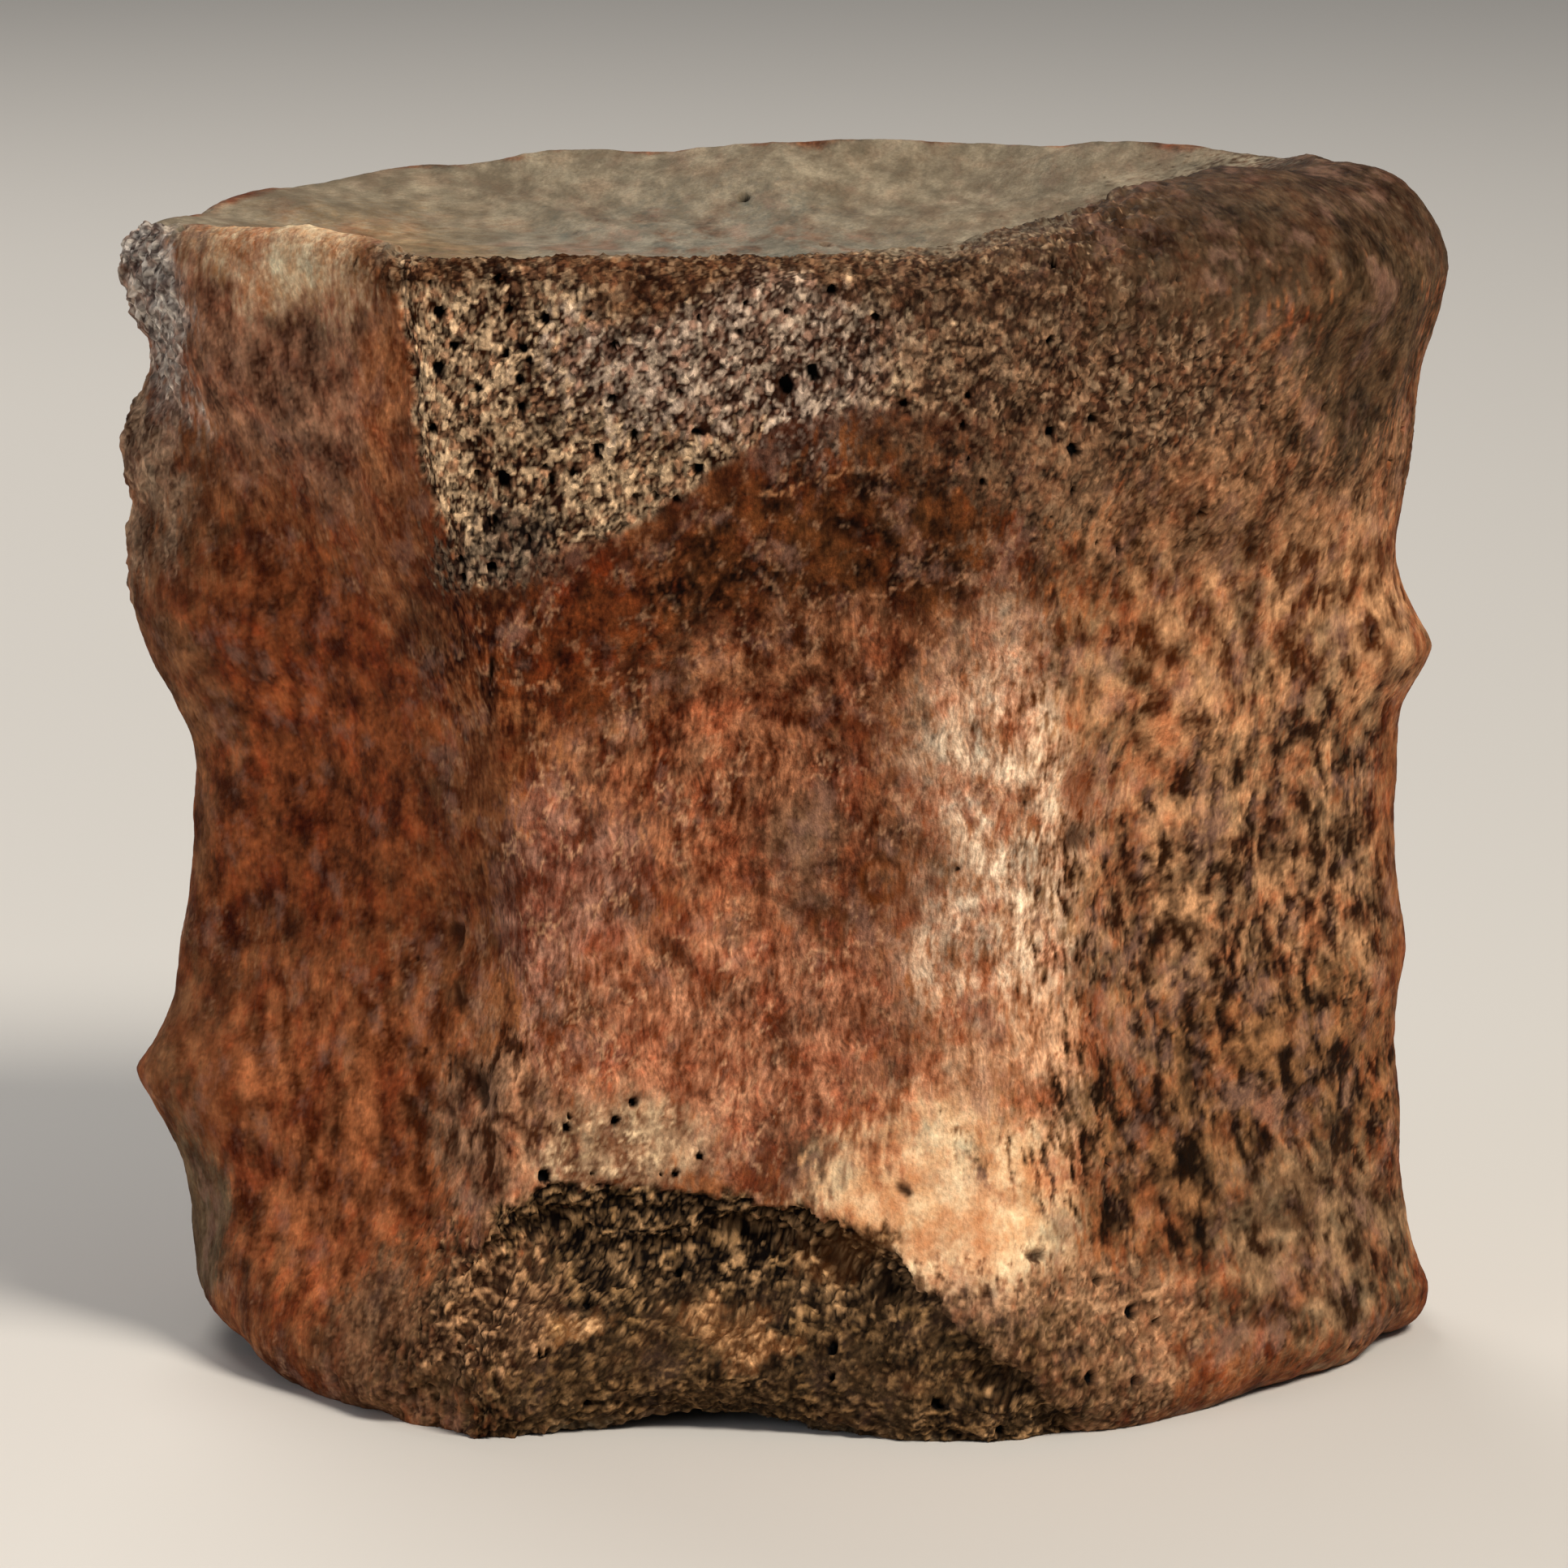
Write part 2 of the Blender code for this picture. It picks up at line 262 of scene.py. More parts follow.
class Pattern:
    """A pattern of bone as a node group, with the same inputs and outputs in both kinds of tree."""

    title = "pattern"
    inputs: tuple[tuple[str, str, object], ...] = ()
    outputs: tuple[str, ...] = ()

    def wire(self, wiring: Wiring, given: dict[str, Socket]) -> dict[str, Socket]:
        """Wire the group's nodes from its inputs to its outputs."""
        raise NotImplementedError

    def group(self, kind: TreeKind) -> bpy.types.NodeTree:
        """The group for this kind of tree, made when it is first asked for."""
        name = f"{self.title}_{kind.name.lower()}"
        known = bpy.data.node_groups.get(name)
        if known is not None:
            return known
        tree = bpy.data.node_groups.new(name, kind.value)
        for title, socket_type, default in self.inputs:
            socket = tree.interface.new_socket(name=title, in_out="INPUT", socket_type=socket_type)
            if default is not None:
                socket.default_value = default
        for title in self.outputs:
            tree.interface.new_socket(name=title, in_out="OUTPUT", socket_type="NodeSocketFloat")
        wiring = Wiring(tree, kind)
        entry = wiring.node("NodeGroupInput")
        given = {title: entry.outputs[title] for title, _, _ in self.inputs}
        exit_node = wiring.node("NodeGroupOutput")
        for title, value in self.wire(wiring, given).items():
            wiring.plug(exit_node.inputs[title], value)
        return tree

    def place(self, wiring: Wiring, **values: Value) -> dict[str, Socket]:
        """Put the pattern in a tree with its own values.

        Args:
            wiring: The tree's wiring.
            **values: The inputs by name.

        Returns:
            The outputs by name.
        """
        made = wiring.node(wiring.kind.group_node, node_tree=self.group(wiring.kind))
        for name, value in values.items():
            wiring.plug(made.inputs[name], value)
        return {title: made.outputs[title] for title in self.outputs}


class Flecks(Pattern):
    """The lengthwise dashes and mottles of outer bone, its broad and fine clouds, and hairlines."""

    title = "bone_flecks"
    inputs = (("Place", "NodeSocketVector", None),)
    outputs = ("Dash", "Mottle", "Broad", "Fine", "Hair")
    warp = (0.16, 1.5)
    stretches = ((3.2, 2.6, 0.8), (0.95, 0.6, 0.7), (0.34, 0.24, 0.28), (5.2, 3.6, 4.2), (0.7, 0.7, 0.5))
    details = (3.0, 4.0, 4.0, 2.0, 3.0)
    roughness = 0.58
    hair_levels = (0.026, 0.0026)

    def wire(self, wiring: Wiring, given: dict[str, Socket]) -> dict[str, Socket]:
        """Noise drawn out along the bone's axis at several widths; hairlines follow one of its levels."""
        wavy = wiring.warped(given["Place"], *self.warp)
        results = {}
        for title, stretch, detail in zip(self.outputs, self.stretches, self.details):
            results[title] = wiring.drawn(wavy, stretch, detail, self.roughness).outputs["Fac"]
        off = wiring.math("ABSOLUTE", wiring.centred(results["Hair"]))
        return {**results, "Hair": wiring.remap(off, *self.hair_levels)}


class Grains(Pattern):
    """Grains set close, a few of them large: a dome on each, the gap round it, its tone and hue."""

    title = "bone_grains"
    inputs = (("Place", "NodeSocketVector", None), ("Size", "NodeSocketFloat", 0.34))
    outputs = ("Dome", "Gap", "Tone", "Hue")
    warp = (1.5, 0.5)
    upright = (1.0, 1.0, 0.72)
    dome_edge = (0.75, 0.05)
    gap_edge = (0.14, 0.02)
    large_edge = (0.42, 0.30)
    large_share = 0.45
    large_amount = 0.11
    large_tone = 0.9
    large_hue = 0.5

    def wire(self, wiring: Wiring, given: dict[str, Socket]) -> dict[str, Socket]:
        """Random cells, warped so that no two grains are alike."""
        uneven = wiring.vector("MULTIPLY", wiring.warped(given["Place"], *self.warp), self.upright)
        sized = wiring.vector("DIVIDE", uneven, given["Size"])
        near = wiring.cells(sized)
        edge = wiring.cells(sized, "DISTANCE_TO_EDGE")
        coarse = wiring.cells(wiring.scaled(sized, self.large_share))
        chosen = wiring.math("LESS_THAN", wiring.split(coarse.outputs["Color"])[0], self.large_amount)
        large = wiring.times(wiring.remap(coarse.outputs["Distance"], *self.large_edge), chosen)
        gap = wiring.remap(edge.outputs["Distance"], *self.gap_edge)
        tone, hue, _ = wiring.split(near.outputs["Color"])
        return {
            "Dome": wiring.math("MAXIMUM", wiring.remap(near.outputs["Distance"], *self.dome_edge), large),
            "Gap": wiring.times(gap, wiring.math("SUBTRACT", 1.0, large)),
            "Tone": wiring.mix(large, tone, self.large_tone),
            "Hue": wiring.mix(large, hue, self.large_hue),
        }


class Pores(Pattern):
    """Scattered round holes, as many as the amount asks for."""

    title = "bone_pores"
    inputs = (("Place", "NodeSocketVector", None), ("Amount", "NodeSocketFloat", 0.3))
    outputs = ("Hole",)
    warp = (2.4, 0.26)
    spacing = (1.05, 0.50, 0.90)
    radii = (0.14, 0.32)
    edge = (-0.02, 0.06)

    def wire(self, wiring: Wiring, given: dict[str, Socket]) -> dict[str, Socket]:
        """A hole at the heart of each random cell whose number is below the amount."""
        ragged = wiring.warped(given["Place"], *self.warp)
        cell = wiring.cells(wiring.vector("MULTIPLY", ragged, self.spacing))
        number, width, _ = wiring.split(cell.outputs["Color"])
        inside = wiring.math("SUBTRACT", wiring.remap(width, 0.0, 1.0, *self.radii), cell.outputs["Distance"])
        there = wiring.math("LESS_THAN", number, given["Amount"])
        return {"Hole": wiring.times(wiring.remap(inside, *self.edge), there)}


class Streaks(Pattern):
    """Drawn-out dark grooves with bars of whole bone between them, and the pits in the deepest."""

    title = "bone_streaks"
    inputs = (("Place", "NodeSocketVector", None), ("Amount", "NodeSocketFloat", 0.5))
    outputs = ("Hole", "Deep")
    warp = (0.5, 0.8)
    stretch = (1.3, 0.85, 0.5)
    detail = 3.0
    roughness = 0.55
    least_level = 0.35
    level_range = 0.15
    hole_edge = (0.0, 0.08)
    deep_edge = (0.13, 0.21)

    def wire(self, wiring: Wiring, given: dict[str, Socket]) -> dict[str, Socket]:
        """The low parts of stretched noise."""
        wavy = wiring.warped(given["Place"], *self.warp)
        cloud = wiring.drawn(wavy, self.stretch, self.detail, self.roughness).outputs["Fac"]
        level = wiring.blend_in(given["Amount"], self.level_range, self.least_level)
        below = wiring.math("SUBTRACT", level, cloud)
        return {"Hole": wiring.remap(below, *self.hole_edge), "Deep": wiring.remap(below, *self.deep_edge)}


class Rubble(Pattern):
    """Broken spongy bone: ragged shelves with hollows between them, and the tone of its bits."""

    title = "bone_rubble"
    inputs = (("Place", "NodeSocketVector", None), ("Size", "NodeSocketFloat", 1.1))
    outputs = ("Shelf", "Tone")
    warp = (1.1, 0.9, 2.0)
    flattened = (1.0, 1.0, 1.6)
    bits = (2.4, 2.4, 3.6)
    shelf_detail = 4.0
    bit_detail = 2.0
    roughness = 0.6
    shelf_levels = (0.41, 0.63)
    tone_levels = (0.40, 0.66)

    def wire(self, wiring: Wiring, given: dict[str, Socket]) -> dict[str, Socket]:
        """Noise flattened into shelves, and finer noise for the bits."""
        ragged = wiring.warped(given["Place"], *self.warp)
        sized = wiring.vector("DIVIDE", wiring.vector("MULTIPLY", ragged, self.flattened), given["Size"])
        shelf = wiring.noise(sized, 1.0, self.shelf_detail, self.roughness).outputs["Fac"]
        bit = wiring.drawn(ragged, self.bits, self.bit_detail, self.roughness).outputs["Fac"]
        return {"Shelf": wiring.remap(shelf, *self.shelf_levels), "Tone": wiring.remap(bit, *self.tone_levels)}


class Speckle(Pattern):
    """The finest detail of the surface, for the material: specks, hair-fine fibres and grains."""

    title = "bone_speckle"
    inputs = (("Place", "NodeSocketVector", None),)
    outputs = ("Speck", "Fibre", "Cell")
    detail = 3.0
    specks = 7.0
    speck_shape = (1.0, 1.0, 0.7)
    speck_roughness = 0.65
    fibre_warp = (0.5, 1.2)
    fibre_stretch = (6.5, 6.5, 1.2)
    fibre_roughness = 0.6
    cell_warp = (3.0, 0.25)
    cell_stretch = (4.8, 4.8, 3.6)

    def wire(self, wiring: Wiring, given: dict[str, Socket]) -> dict[str, Socket]:
        """Fine noise, the same drawn out along the bone, and a random tone for each small cell."""
        place = given["Place"]
        upright = wiring.vector("MULTIPLY", place, self.speck_shape)
        wavy = wiring.warped(place, *self.fibre_warp)
        cells = wiring.vector("MULTIPLY", wiring.warped(place, *self.cell_warp), self.cell_stretch)
        return {
            "Speck": wiring.noise(upright, self.specks, self.detail, self.speck_roughness).outputs["Fac"],
            "Fibre": wiring.drawn(wavy, self.fibre_stretch, self.detail, self.fibre_roughness).outputs["Fac"],
            "Cell": wiring.split(wiring.cells(cells).outputs["Color"])[0],
        }


@dataclass(frozen=True)
class Zone:
    """A stretch of the bone with colours and a texture of its own.

    light and dark are the colours between which the bone's grain varies there. The texture
    values run from 0 to 1: streaks are drawn-out dark pits, pits are round pores, grain is
    granular bone, rubble is broken spongy bone, crumble is a broken edge, gloss a polished
    surface and fibre one of fine lengthwise fibres.
    """

    name: str
    centre: Point
    radii: Point
    light: Colour
    dark: Colour
    streaks: float = 0.0
    pits: float = 0.0
    grain: float = 0.0
    rubble: float = 0.0
    crumble: float = 0.0
    gloss: float = 0.0
    fibre: float = 0.1
    strength: float = 1.0
    fade: float = 0.4


CORTEX = Zone(
    "cortex", (0.0, 0.0, 27.0), (99.0, 99.0, 99.0), (160, 100, 60), (78, 34, 10),
    streaks=0.12, pits=0.03, gloss=0.2, fibre=0.6,
)

ZONES = (
    # Left lateral face and its edges
    Zone("left_face_top", (-21.5, -14.0, 46.0), (7.5, 14.0, 6.5), (212, 152, 114), (56, 22, 4), grain=0.15),
    Zone(
        "left_face_middle", (-22.0, -10.0, 28.0), (8.0, 18.0, 10.0), (190, 104, 56), (60, 18, 0),
        gloss=0.3,
    ),
    Zone("left_face_low", (-21.0, -12.0, 11.0), (8.5, 16.0, 8.0), (222, 134, 82), (74, 27, 0)),
    Zone("left_low_edge", (-27.0, -3.0, 6.0), (2.4, 9.0, 4.4), (140, 116, 86), (74, 52, 32), fade=0.6),
    Zone("left_spur", (-27.0, -4.0, 13.0), (2.8, 8.0, 4.0), (188, 116, 72), (120, 62, 30), fade=0.6),
    Zone(
        "left_foot_front", (-17.0, -18.0, 3.0), (4.6, 10.0, 3.4), (196, 140, 98), (66, 36, 16),
        grain=0.4, pits=0.15,
    ),
    Zone(
        "left_outline", (-28.0, -3.0, 24.0), (2.4, 8.0, 14.0), (172, 122, 82), (92, 54, 28),
        strength=0.8, fade=0.8,
    ),
    # Between the upper facet and the channel
    Zone(
        "rust_band", (-8.6, -20.0, 34.6), (6.8, 12.0, 3.9), (132, 66, 30), (28, 3, 0),
        streaks=0.1, fibre=0.7,
    ),
    # dark_band_painted_shade: dark brown bone, darkened further with painted shade where the flare faces down
    # under the upper facet
    Zone(
        "dark_band_painted_shade", (3.4, -20.0, 40.0), (10.2, 12.0, 4.9), (124, 70, 34), (16, 3, 0),
        streaks=0.1, fibre=0.6,
    ),
    Zone(
        "band_run_out", (3.5, -19.0, 34.2), (9.5, 10.0, 2.8), (186, 124, 84), (64, 26, 5),
        streaks=0.25, fibre=0.8,
    ),
    Zone(
        "facet_left_ridge", (-17.0, -21.0, 44.5), (1.3, 8.0, 7.0), (216, 140, 90), (92, 40, 12),
        grain=0.3, fade=0.8,
    ),
    # Ventral channel
    Zone(
        "channel_middle", (-2.5, -18.0, 27.0), (8.0, 10.0, 6.0), (186, 122, 84), (68, 24, 2),
        streaks=0.06, fibre=1.0,
    ),
    # pink_painted_sheen: pinkish-grey bone whose light colour is partly a painted sheen; its gloss lowers the
    # roughness
    Zone(
        "pink_painted_sheen", (-9.4, -18.0, 21.5), (3.0, 10.0, 7.0), (174, 124, 100), (80, 36, 16),
        gloss=0.9, fibre=1.0,
    ),
    Zone(
        "channel_low", (-2.0, -18.0, 17.5), (8.5, 10.0, 5.5), (196, 134, 98), (92, 42, 16),
        gloss=0.4, fibre=1.0,
    ),
    Zone("grey_smudge", (2.2, -19.0, 12.6), (2.2, 8.0, 1.7), (136, 104, 76), (60, 38, 24), fade=0.8),
    Zone(
        "olive_patch", (1.0, -18.0, 25.0), (1.8, 8.0, 3.2), (150, 120, 92), (64, 42, 24),
        strength=0.55, fade=0.9,
    ),
    # Right ventral ridge and the cream bone above the lower facet
    # ridge_cream_painted_highlight: cream bone whose brightest colour is partly a painted highlight along the
    # ridge
    Zone(
        "ridge_cream_painted_highlight", (9.3, -20.0, 25.0), (3.9, 11.0, 11.0), (255, 224, 188), (150, 98, 64),
        streaks=0.35, fibre=1.0, fade=0.7,
    ),
    Zone(
        "ridge_low", (9.8, -20.0, 14.5), (4.0, 11.0, 5.0), (234, 184, 142), (140, 86, 52),
        streaks=0.25, fibre=0.9,
    ),
    Zone(
        "cream_low", (7.0, -22.0, 9.8), (5.2, 12.0, 5.0), (255, 226, 180), (206, 148, 100),
        fibre=0.03, fade=0.6,
    ),
    # Right ventral face: tan bone with dark streaks and mottles
    Zone(
        "right_mottle_top", (21.0, -12.0, 41.0), (11.5, 16.0, 6.5), (190, 138, 98), (50, 26, 6),
        streaks=0.6, pits=0.3, grain=0.35, fibre=0.3,
    ),
    Zone(
        "right_mottle_high", (21.0, -12.0, 32.5), (11.0, 16.0, 6.0), (212, 158, 112), (68, 32, 6),
        streaks=0.55, fibre=0.4,
    ),
    Zone(
        "right_mottle_middle", (21.0, -12.0, 22.5), (10.2, 16.0, 7.5), (202, 150, 106), (38, 17, 2),
        streaks=0.9, fibre=0.5,
    ),
    Zone(
        "right_mottle_low", (20.5, -13.0, 12.0), (10.2, 16.0, 6.5), (160, 112, 72), (27, 11, 1),
        streaks=1.0, fibre=0.4,
    ),
    Zone(
        "right_edge_rust", (28.8, -3.0, 22.0), (1.6, 7.0, 6.0), (160, 98, 56), (84, 38, 12),
        streaks=0.3, strength=0.6, fade=1.0,
    ),
    Zone(
        "right_low_speckle", (13.0, -21.0, 3.4), (7.5, 12.0, 4.0), (208, 156, 114), (50, 30, 14),
        grain=0.6, pits=0.4,
    ),
    Zone(
        "right_low_corner", (24.5, -12.0, 6.0), (6.5, 14.0, 5.0), (176, 136, 98), (42, 22, 5),
        streaks=0.5,
    ),
    # Low edge of the channel, where the outer bone opens
    Zone(
        "low_web", (-8.2, -21.0, 12.2), (4.0, 10.0, 2.0), (255, 220, 174), (84, 44, 20),
        rubble=0.6, pits=0.4, fade=0.8,
    ),
    Zone(
        "low_left_streaks", (-12.6, -20.0, 13.5), (2.8, 10.0, 4.2), (206, 150, 110), (60, 30, 12),
        streaks=0.7, fibre=0.5,
    ),
    # Dorsal side, which the photo doesn't show
    Zone(
        "canal_floor", (0.0, 23.0, 27.0), (6.5, 9.0, 22.0), (158, 104, 68), (78, 40, 18),
        streaks=0.1, gloss=0.4,
    ),
    Zone(
        "right_arch_scar", (12.4, 21.0, 29.0), (4.4, 8.0, 14.0), (206, 158, 114), (70, 40, 22),
        grain=0.5, rubble=0.7, pits=0.3, fade=1.0,
    ),
    Zone(
        "left_arch_scar", (-12.2, 21.0, 28.0), (4.4, 8.0, 14.0), (200, 150, 106), (66, 36, 18),
        grain=0.5, rubble=0.7, pits=0.3, fade=1.0,
    ),
    Zone(
        "right_dorsal_tan", (24.0, 14.0, 20.0), (8.0, 12.0, 12.0), (200, 144, 98), (64, 34, 12),
        streaks=0.7, fade=0.8,
    ),
    Zone(
        "left_dorsal_rust", (-24.0, 13.0, 32.0), (8.0, 12.0, 12.0), (168, 92, 46), (58, 20, 2),
        streaks=0.3, fade=0.8,
    ),
    Zone(
        "dorsal_low_cream", (8.0, 22.0, 6.0), (9.0, 9.0, 4.5), (222, 174, 128), (112, 68, 38),
        pits=0.1, fade=0.8,
    ),
)

UPPER_FACET = Zone(
    "upper_facet", (0.0, 0.0, 0.0), (1.0, 1.0, 1.0), (218, 182, 142), (32, 10, 0), pits=0.55, grain=1.0,
)
# The lower facet's near-black dark colour is partly its dark mineral and partly painted shade in its recess
# and hollows.
LOWER_FACET = Zone(
    "lower_facet", (0.0, 0.0, 0.0), (1.0, 1.0, 1.0), (186, 144, 100), (5, 1, 0),
    pits=0.15, grain=0.1, rubble=1.0,
)
END_FACES = Zone(
    "end_faces", (0.0, 0.0, 0.0), (1.0, 1.0, 1.0), (158, 144, 120), (106, 94, 76), pits=0.02, fibre=0.0,
)

OVERLAYS = (
    # Over the upper end face
    Zone(
        "dish_grey", (-4.0, 3.0, 49.0), (9.0, 12.0, 6.0), (150, 141, 124), (108, 103, 90),
        strength=0.8, fade=0.9,
    ),
    Zone(
        "dish_tan", (-18.0, 2.0, 50.0), (6.0, 8.0, 5.0), (166, 134, 94), (116, 92, 62),
        strength=0.7, fade=0.9,
    ),
    # Over the upper facet
    Zone(
        "facet_dark_corner", (-12.6, -20.0, 38.8), (2.5, 8.0, 2.0), (150, 124, 100), (20, 10, 6),
        pits=1.0, grain=1.0,
    ),
    Zone(
        "facet_grey", (-1.5, -22.0, 47.6), (8.0, 10.0, 3.8), (204, 180, 160), (44, 20, 8), pits=0.3, grain=1.0,
        strength=0.8,
    ),
    Zone(
        "facet_right", (13.0, -20.0, 46.8), (9.5, 12.0, 4.6), (154, 118, 88), (32, 14, 4),
        streaks=0.3, pits=0.4, grain=0.85, fade=0.8,
    ),
    Zone(
        "facet_right_low", (11.5, -21.0, 42.6), (3.6, 10.0, 2.6), (156, 116, 84), (28, 14, 5),
        streaks=0.7, pits=0.3, grain=0.5,
    ),
    # Over the lower facet: paler rubble near the foot
    Zone(
        "lower_facet_foot", (-2.0, -25.0, 2.4), (17.0, 9.0, 3.4), (142, 106, 68), (10, 4, 0),
        grain=0.3, rubble=0.7, pits=0.15, strength=0.9, fade=0.8,
    ),
    Zone(
        "lower_facet_left", (-13.0, -23.0, 6.0), (3.4, 8.0, 3.6), (214, 162, 116), (30, 12, 3),
        rubble=0.85, grain=0.4,
    ),
    Zone(
        "lower_facet_tan", (3.4, -23.0, 7.8), (2.4, 8.0, 1.3), (214, 164, 112), (62, 34, 12),
        rubble=0.95, fade=0.8,
    ),
    Zone(
        "lower_ledge_left", (-9.6, -24.0, 4.9), (2.0, 8.0, 0.5), (240, 188, 134), (112, 74, 42),
        rubble=0.9, fade=0.7,
    ),
    Zone(
        "lower_ledge_right", (-1.2, -24.0, 4.4), (2.6, 8.0, 0.8), (232, 176, 122), (84, 50, 24),
        rubble=0.9, fade=0.7,
    ),
    # The upper rim, from the left corner round to the right lip
    Zone(
        "left_corner_crumble", (-28.8, -6.0, 48.6), (2.4, 8.0, 5.6), (250, 236, 218), (64, 48, 44),
        grain=0.8, crumble=1.0, pits=0.2, fade=0.7,
    ),
    Zone(
        "left_edge_chips", (-30.2, -3.0, 41.0), (2.2, 7.0, 6.5), (226, 184, 146), (56, 30, 16),
        crumble=0.6, grain=0.4, fade=0.8,
    ),
    Zone(
        "left_rim_cream", (-22.4, -15.0, 51.2), (5.6, 8.0, 2.7), (255, 238, 196), (186, 130, 84),
        grain=0.3, fade=0.8,
    ),
    Zone(
        "near_rim_band", (-7.0, -24.0, 51.7), (14.5, 5.0, 1.3), (134, 96, 66), (36, 14, 2),
        grain=0.9, fade=0.9,
    ),
    Zone(
        "rim_granular", (12.0, -20.5, 50.8), (11.5, 9.0, 2.6), (126, 94, 68), (34, 18, 8),
        grain=0.8, pits=0.2, fade=0.8,
    ),
    Zone(
        "right_lip", (26.0, -8.0, 52.8), (17.0, 21.0, 5.2), (102, 78, 56), (38, 22, 8),
        gloss=0.3, grain=0.2,
    ),
    Zone("right_lip_front", (27.0, -12.0, 46.4), (5.5, 10.0, 5.0), (122, 92, 64), (28, 14, 2), grain=0.2),
)


@dataclass(frozen=True)
class Mark:
    """A small named hollow or stain on the underside, seen from the front in x and z."""

    name: str
    centre: Spot
    radii: Spot
    depth: float
    colour: Colour
    strength: float = 0.9
    ring: bool = False


MARKS = (
    # The dark colours of the holes (foramina, slit, pore and cream pits) are painted shade inside them; the
    # spots and rings are stains.
    Mark("foramen_high", (-14.5, 21.0), (0.36, 0.8), 0.25, (50, 22, 8)),
    Mark("foramen_low", (-14.3, 18.2), (0.35, 0.6), 0.2, (62, 30, 12)),
    Mark("slit", (-12.7, 33.5), (0.2, 0.75), 0.35, (18, 8, 3)),
    Mark("pore_low_left", (-13.3, 14.6), (0.35, 0.8), 0.35, (40, 22, 12)),
    Mark("brown_spot", (12.9, 27.8), (0.8, 1.4), 0.05, (104, 44, 6), 0.7),
    Mark("black_spot", (12.8, 25.7), (0.6, 0.8), 0.1, (44, 18, 4), 0.8),
    Mark("channel_spot", (-4.6, 28.6), (0.5, 0.35), 0.1, (60, 30, 14), 0.7),
    Mark("high_ring", (4.2, 23.8), (0.85, 0.9), 0.08, (104, 52, 18), 0.65, True),
    Mark("low_ring", (2.0, 21.6), (0.65, 0.8), 0.08, (100, 54, 24), 0.6, True),
    Mark("foot_ring", (10.6, 4.0), (0.7, 0.6), 0.1, (70, 44, 26), 0.6, True),
    Mark("corner_ring", (22.4, 8.2), (1.2, 1.0), 0.06, (84, 56, 34), 0.5, True),
    Mark("cream_pit_high", (5.2, 10.6), (0.3, 0.3), 0.3, (60, 36, 20)),
    Mark("cream_pit_low", (11.0, 8.0), (0.45, 0.4), 0.4, (40, 24, 14)),
    Mark("cream_pit_edge", (8.8, 6.6), (0.35, 0.3), 0.3, (60, 36, 20)),
)


@dataclass(frozen=True)
class Seam:
    """A hairline crack on the underside, seen from the front in x and z, with its mineral's colour."""

    name: str
    start: Spot
    end: Spot
    width: float
    colour: Colour
    strength: float = 0.6


SEAMS = (
    Seam("band_vein_high", (-1.2, 41.4), (4.4, 42.9), 0.07, (196, 138, 94), 0.5),
    Seam("band_vein_low", (1.2, 36.3), (8.4, 37.8), 0.08, (204, 148, 108), 0.5),
    Seam("rust_vein", (-11.4, 32.9), (-5.8, 33.2), 0.07, (196, 136, 94), 0.5),
    Seam("cream_crack_left", (3.4, 12.6), (7.6, 7.4), 0.06, (150, 92, 54), 0.4),
)


class Line(NamedTuple):
    """One line up the flank.

    turn is its direction in degrees from -Y towards +X, and reach its distance from the axis,
    both at the lower rim, the waist and the upper rim. low_swing and high_swing shape how it
    swings out below and above the waist. foot and crest are the heights of the two rims on this
    line, and lip how far the upper rim rolls inwards and down. round is 0 at a corner.
    """

    name: str
    turn: Point
    reach: Point
    low_swing: Spot
    high_swing: Spot
    foot: float
    crest: float
    lip: Spot
    round: float


class Form(NamedTuple):
    """A local swelling (out > 0) or hollow (out < 0) of the flank, at a turn and a height.

    across and along are its half widths, and a point of 1 is pointed and 2 rounded. ledge is
    the height of the broken ledges on it.
    """

    name: str
    turn: float
    height: float
    across: float
    along: float
    out: float
    point: float
    ledge: float = 0.0


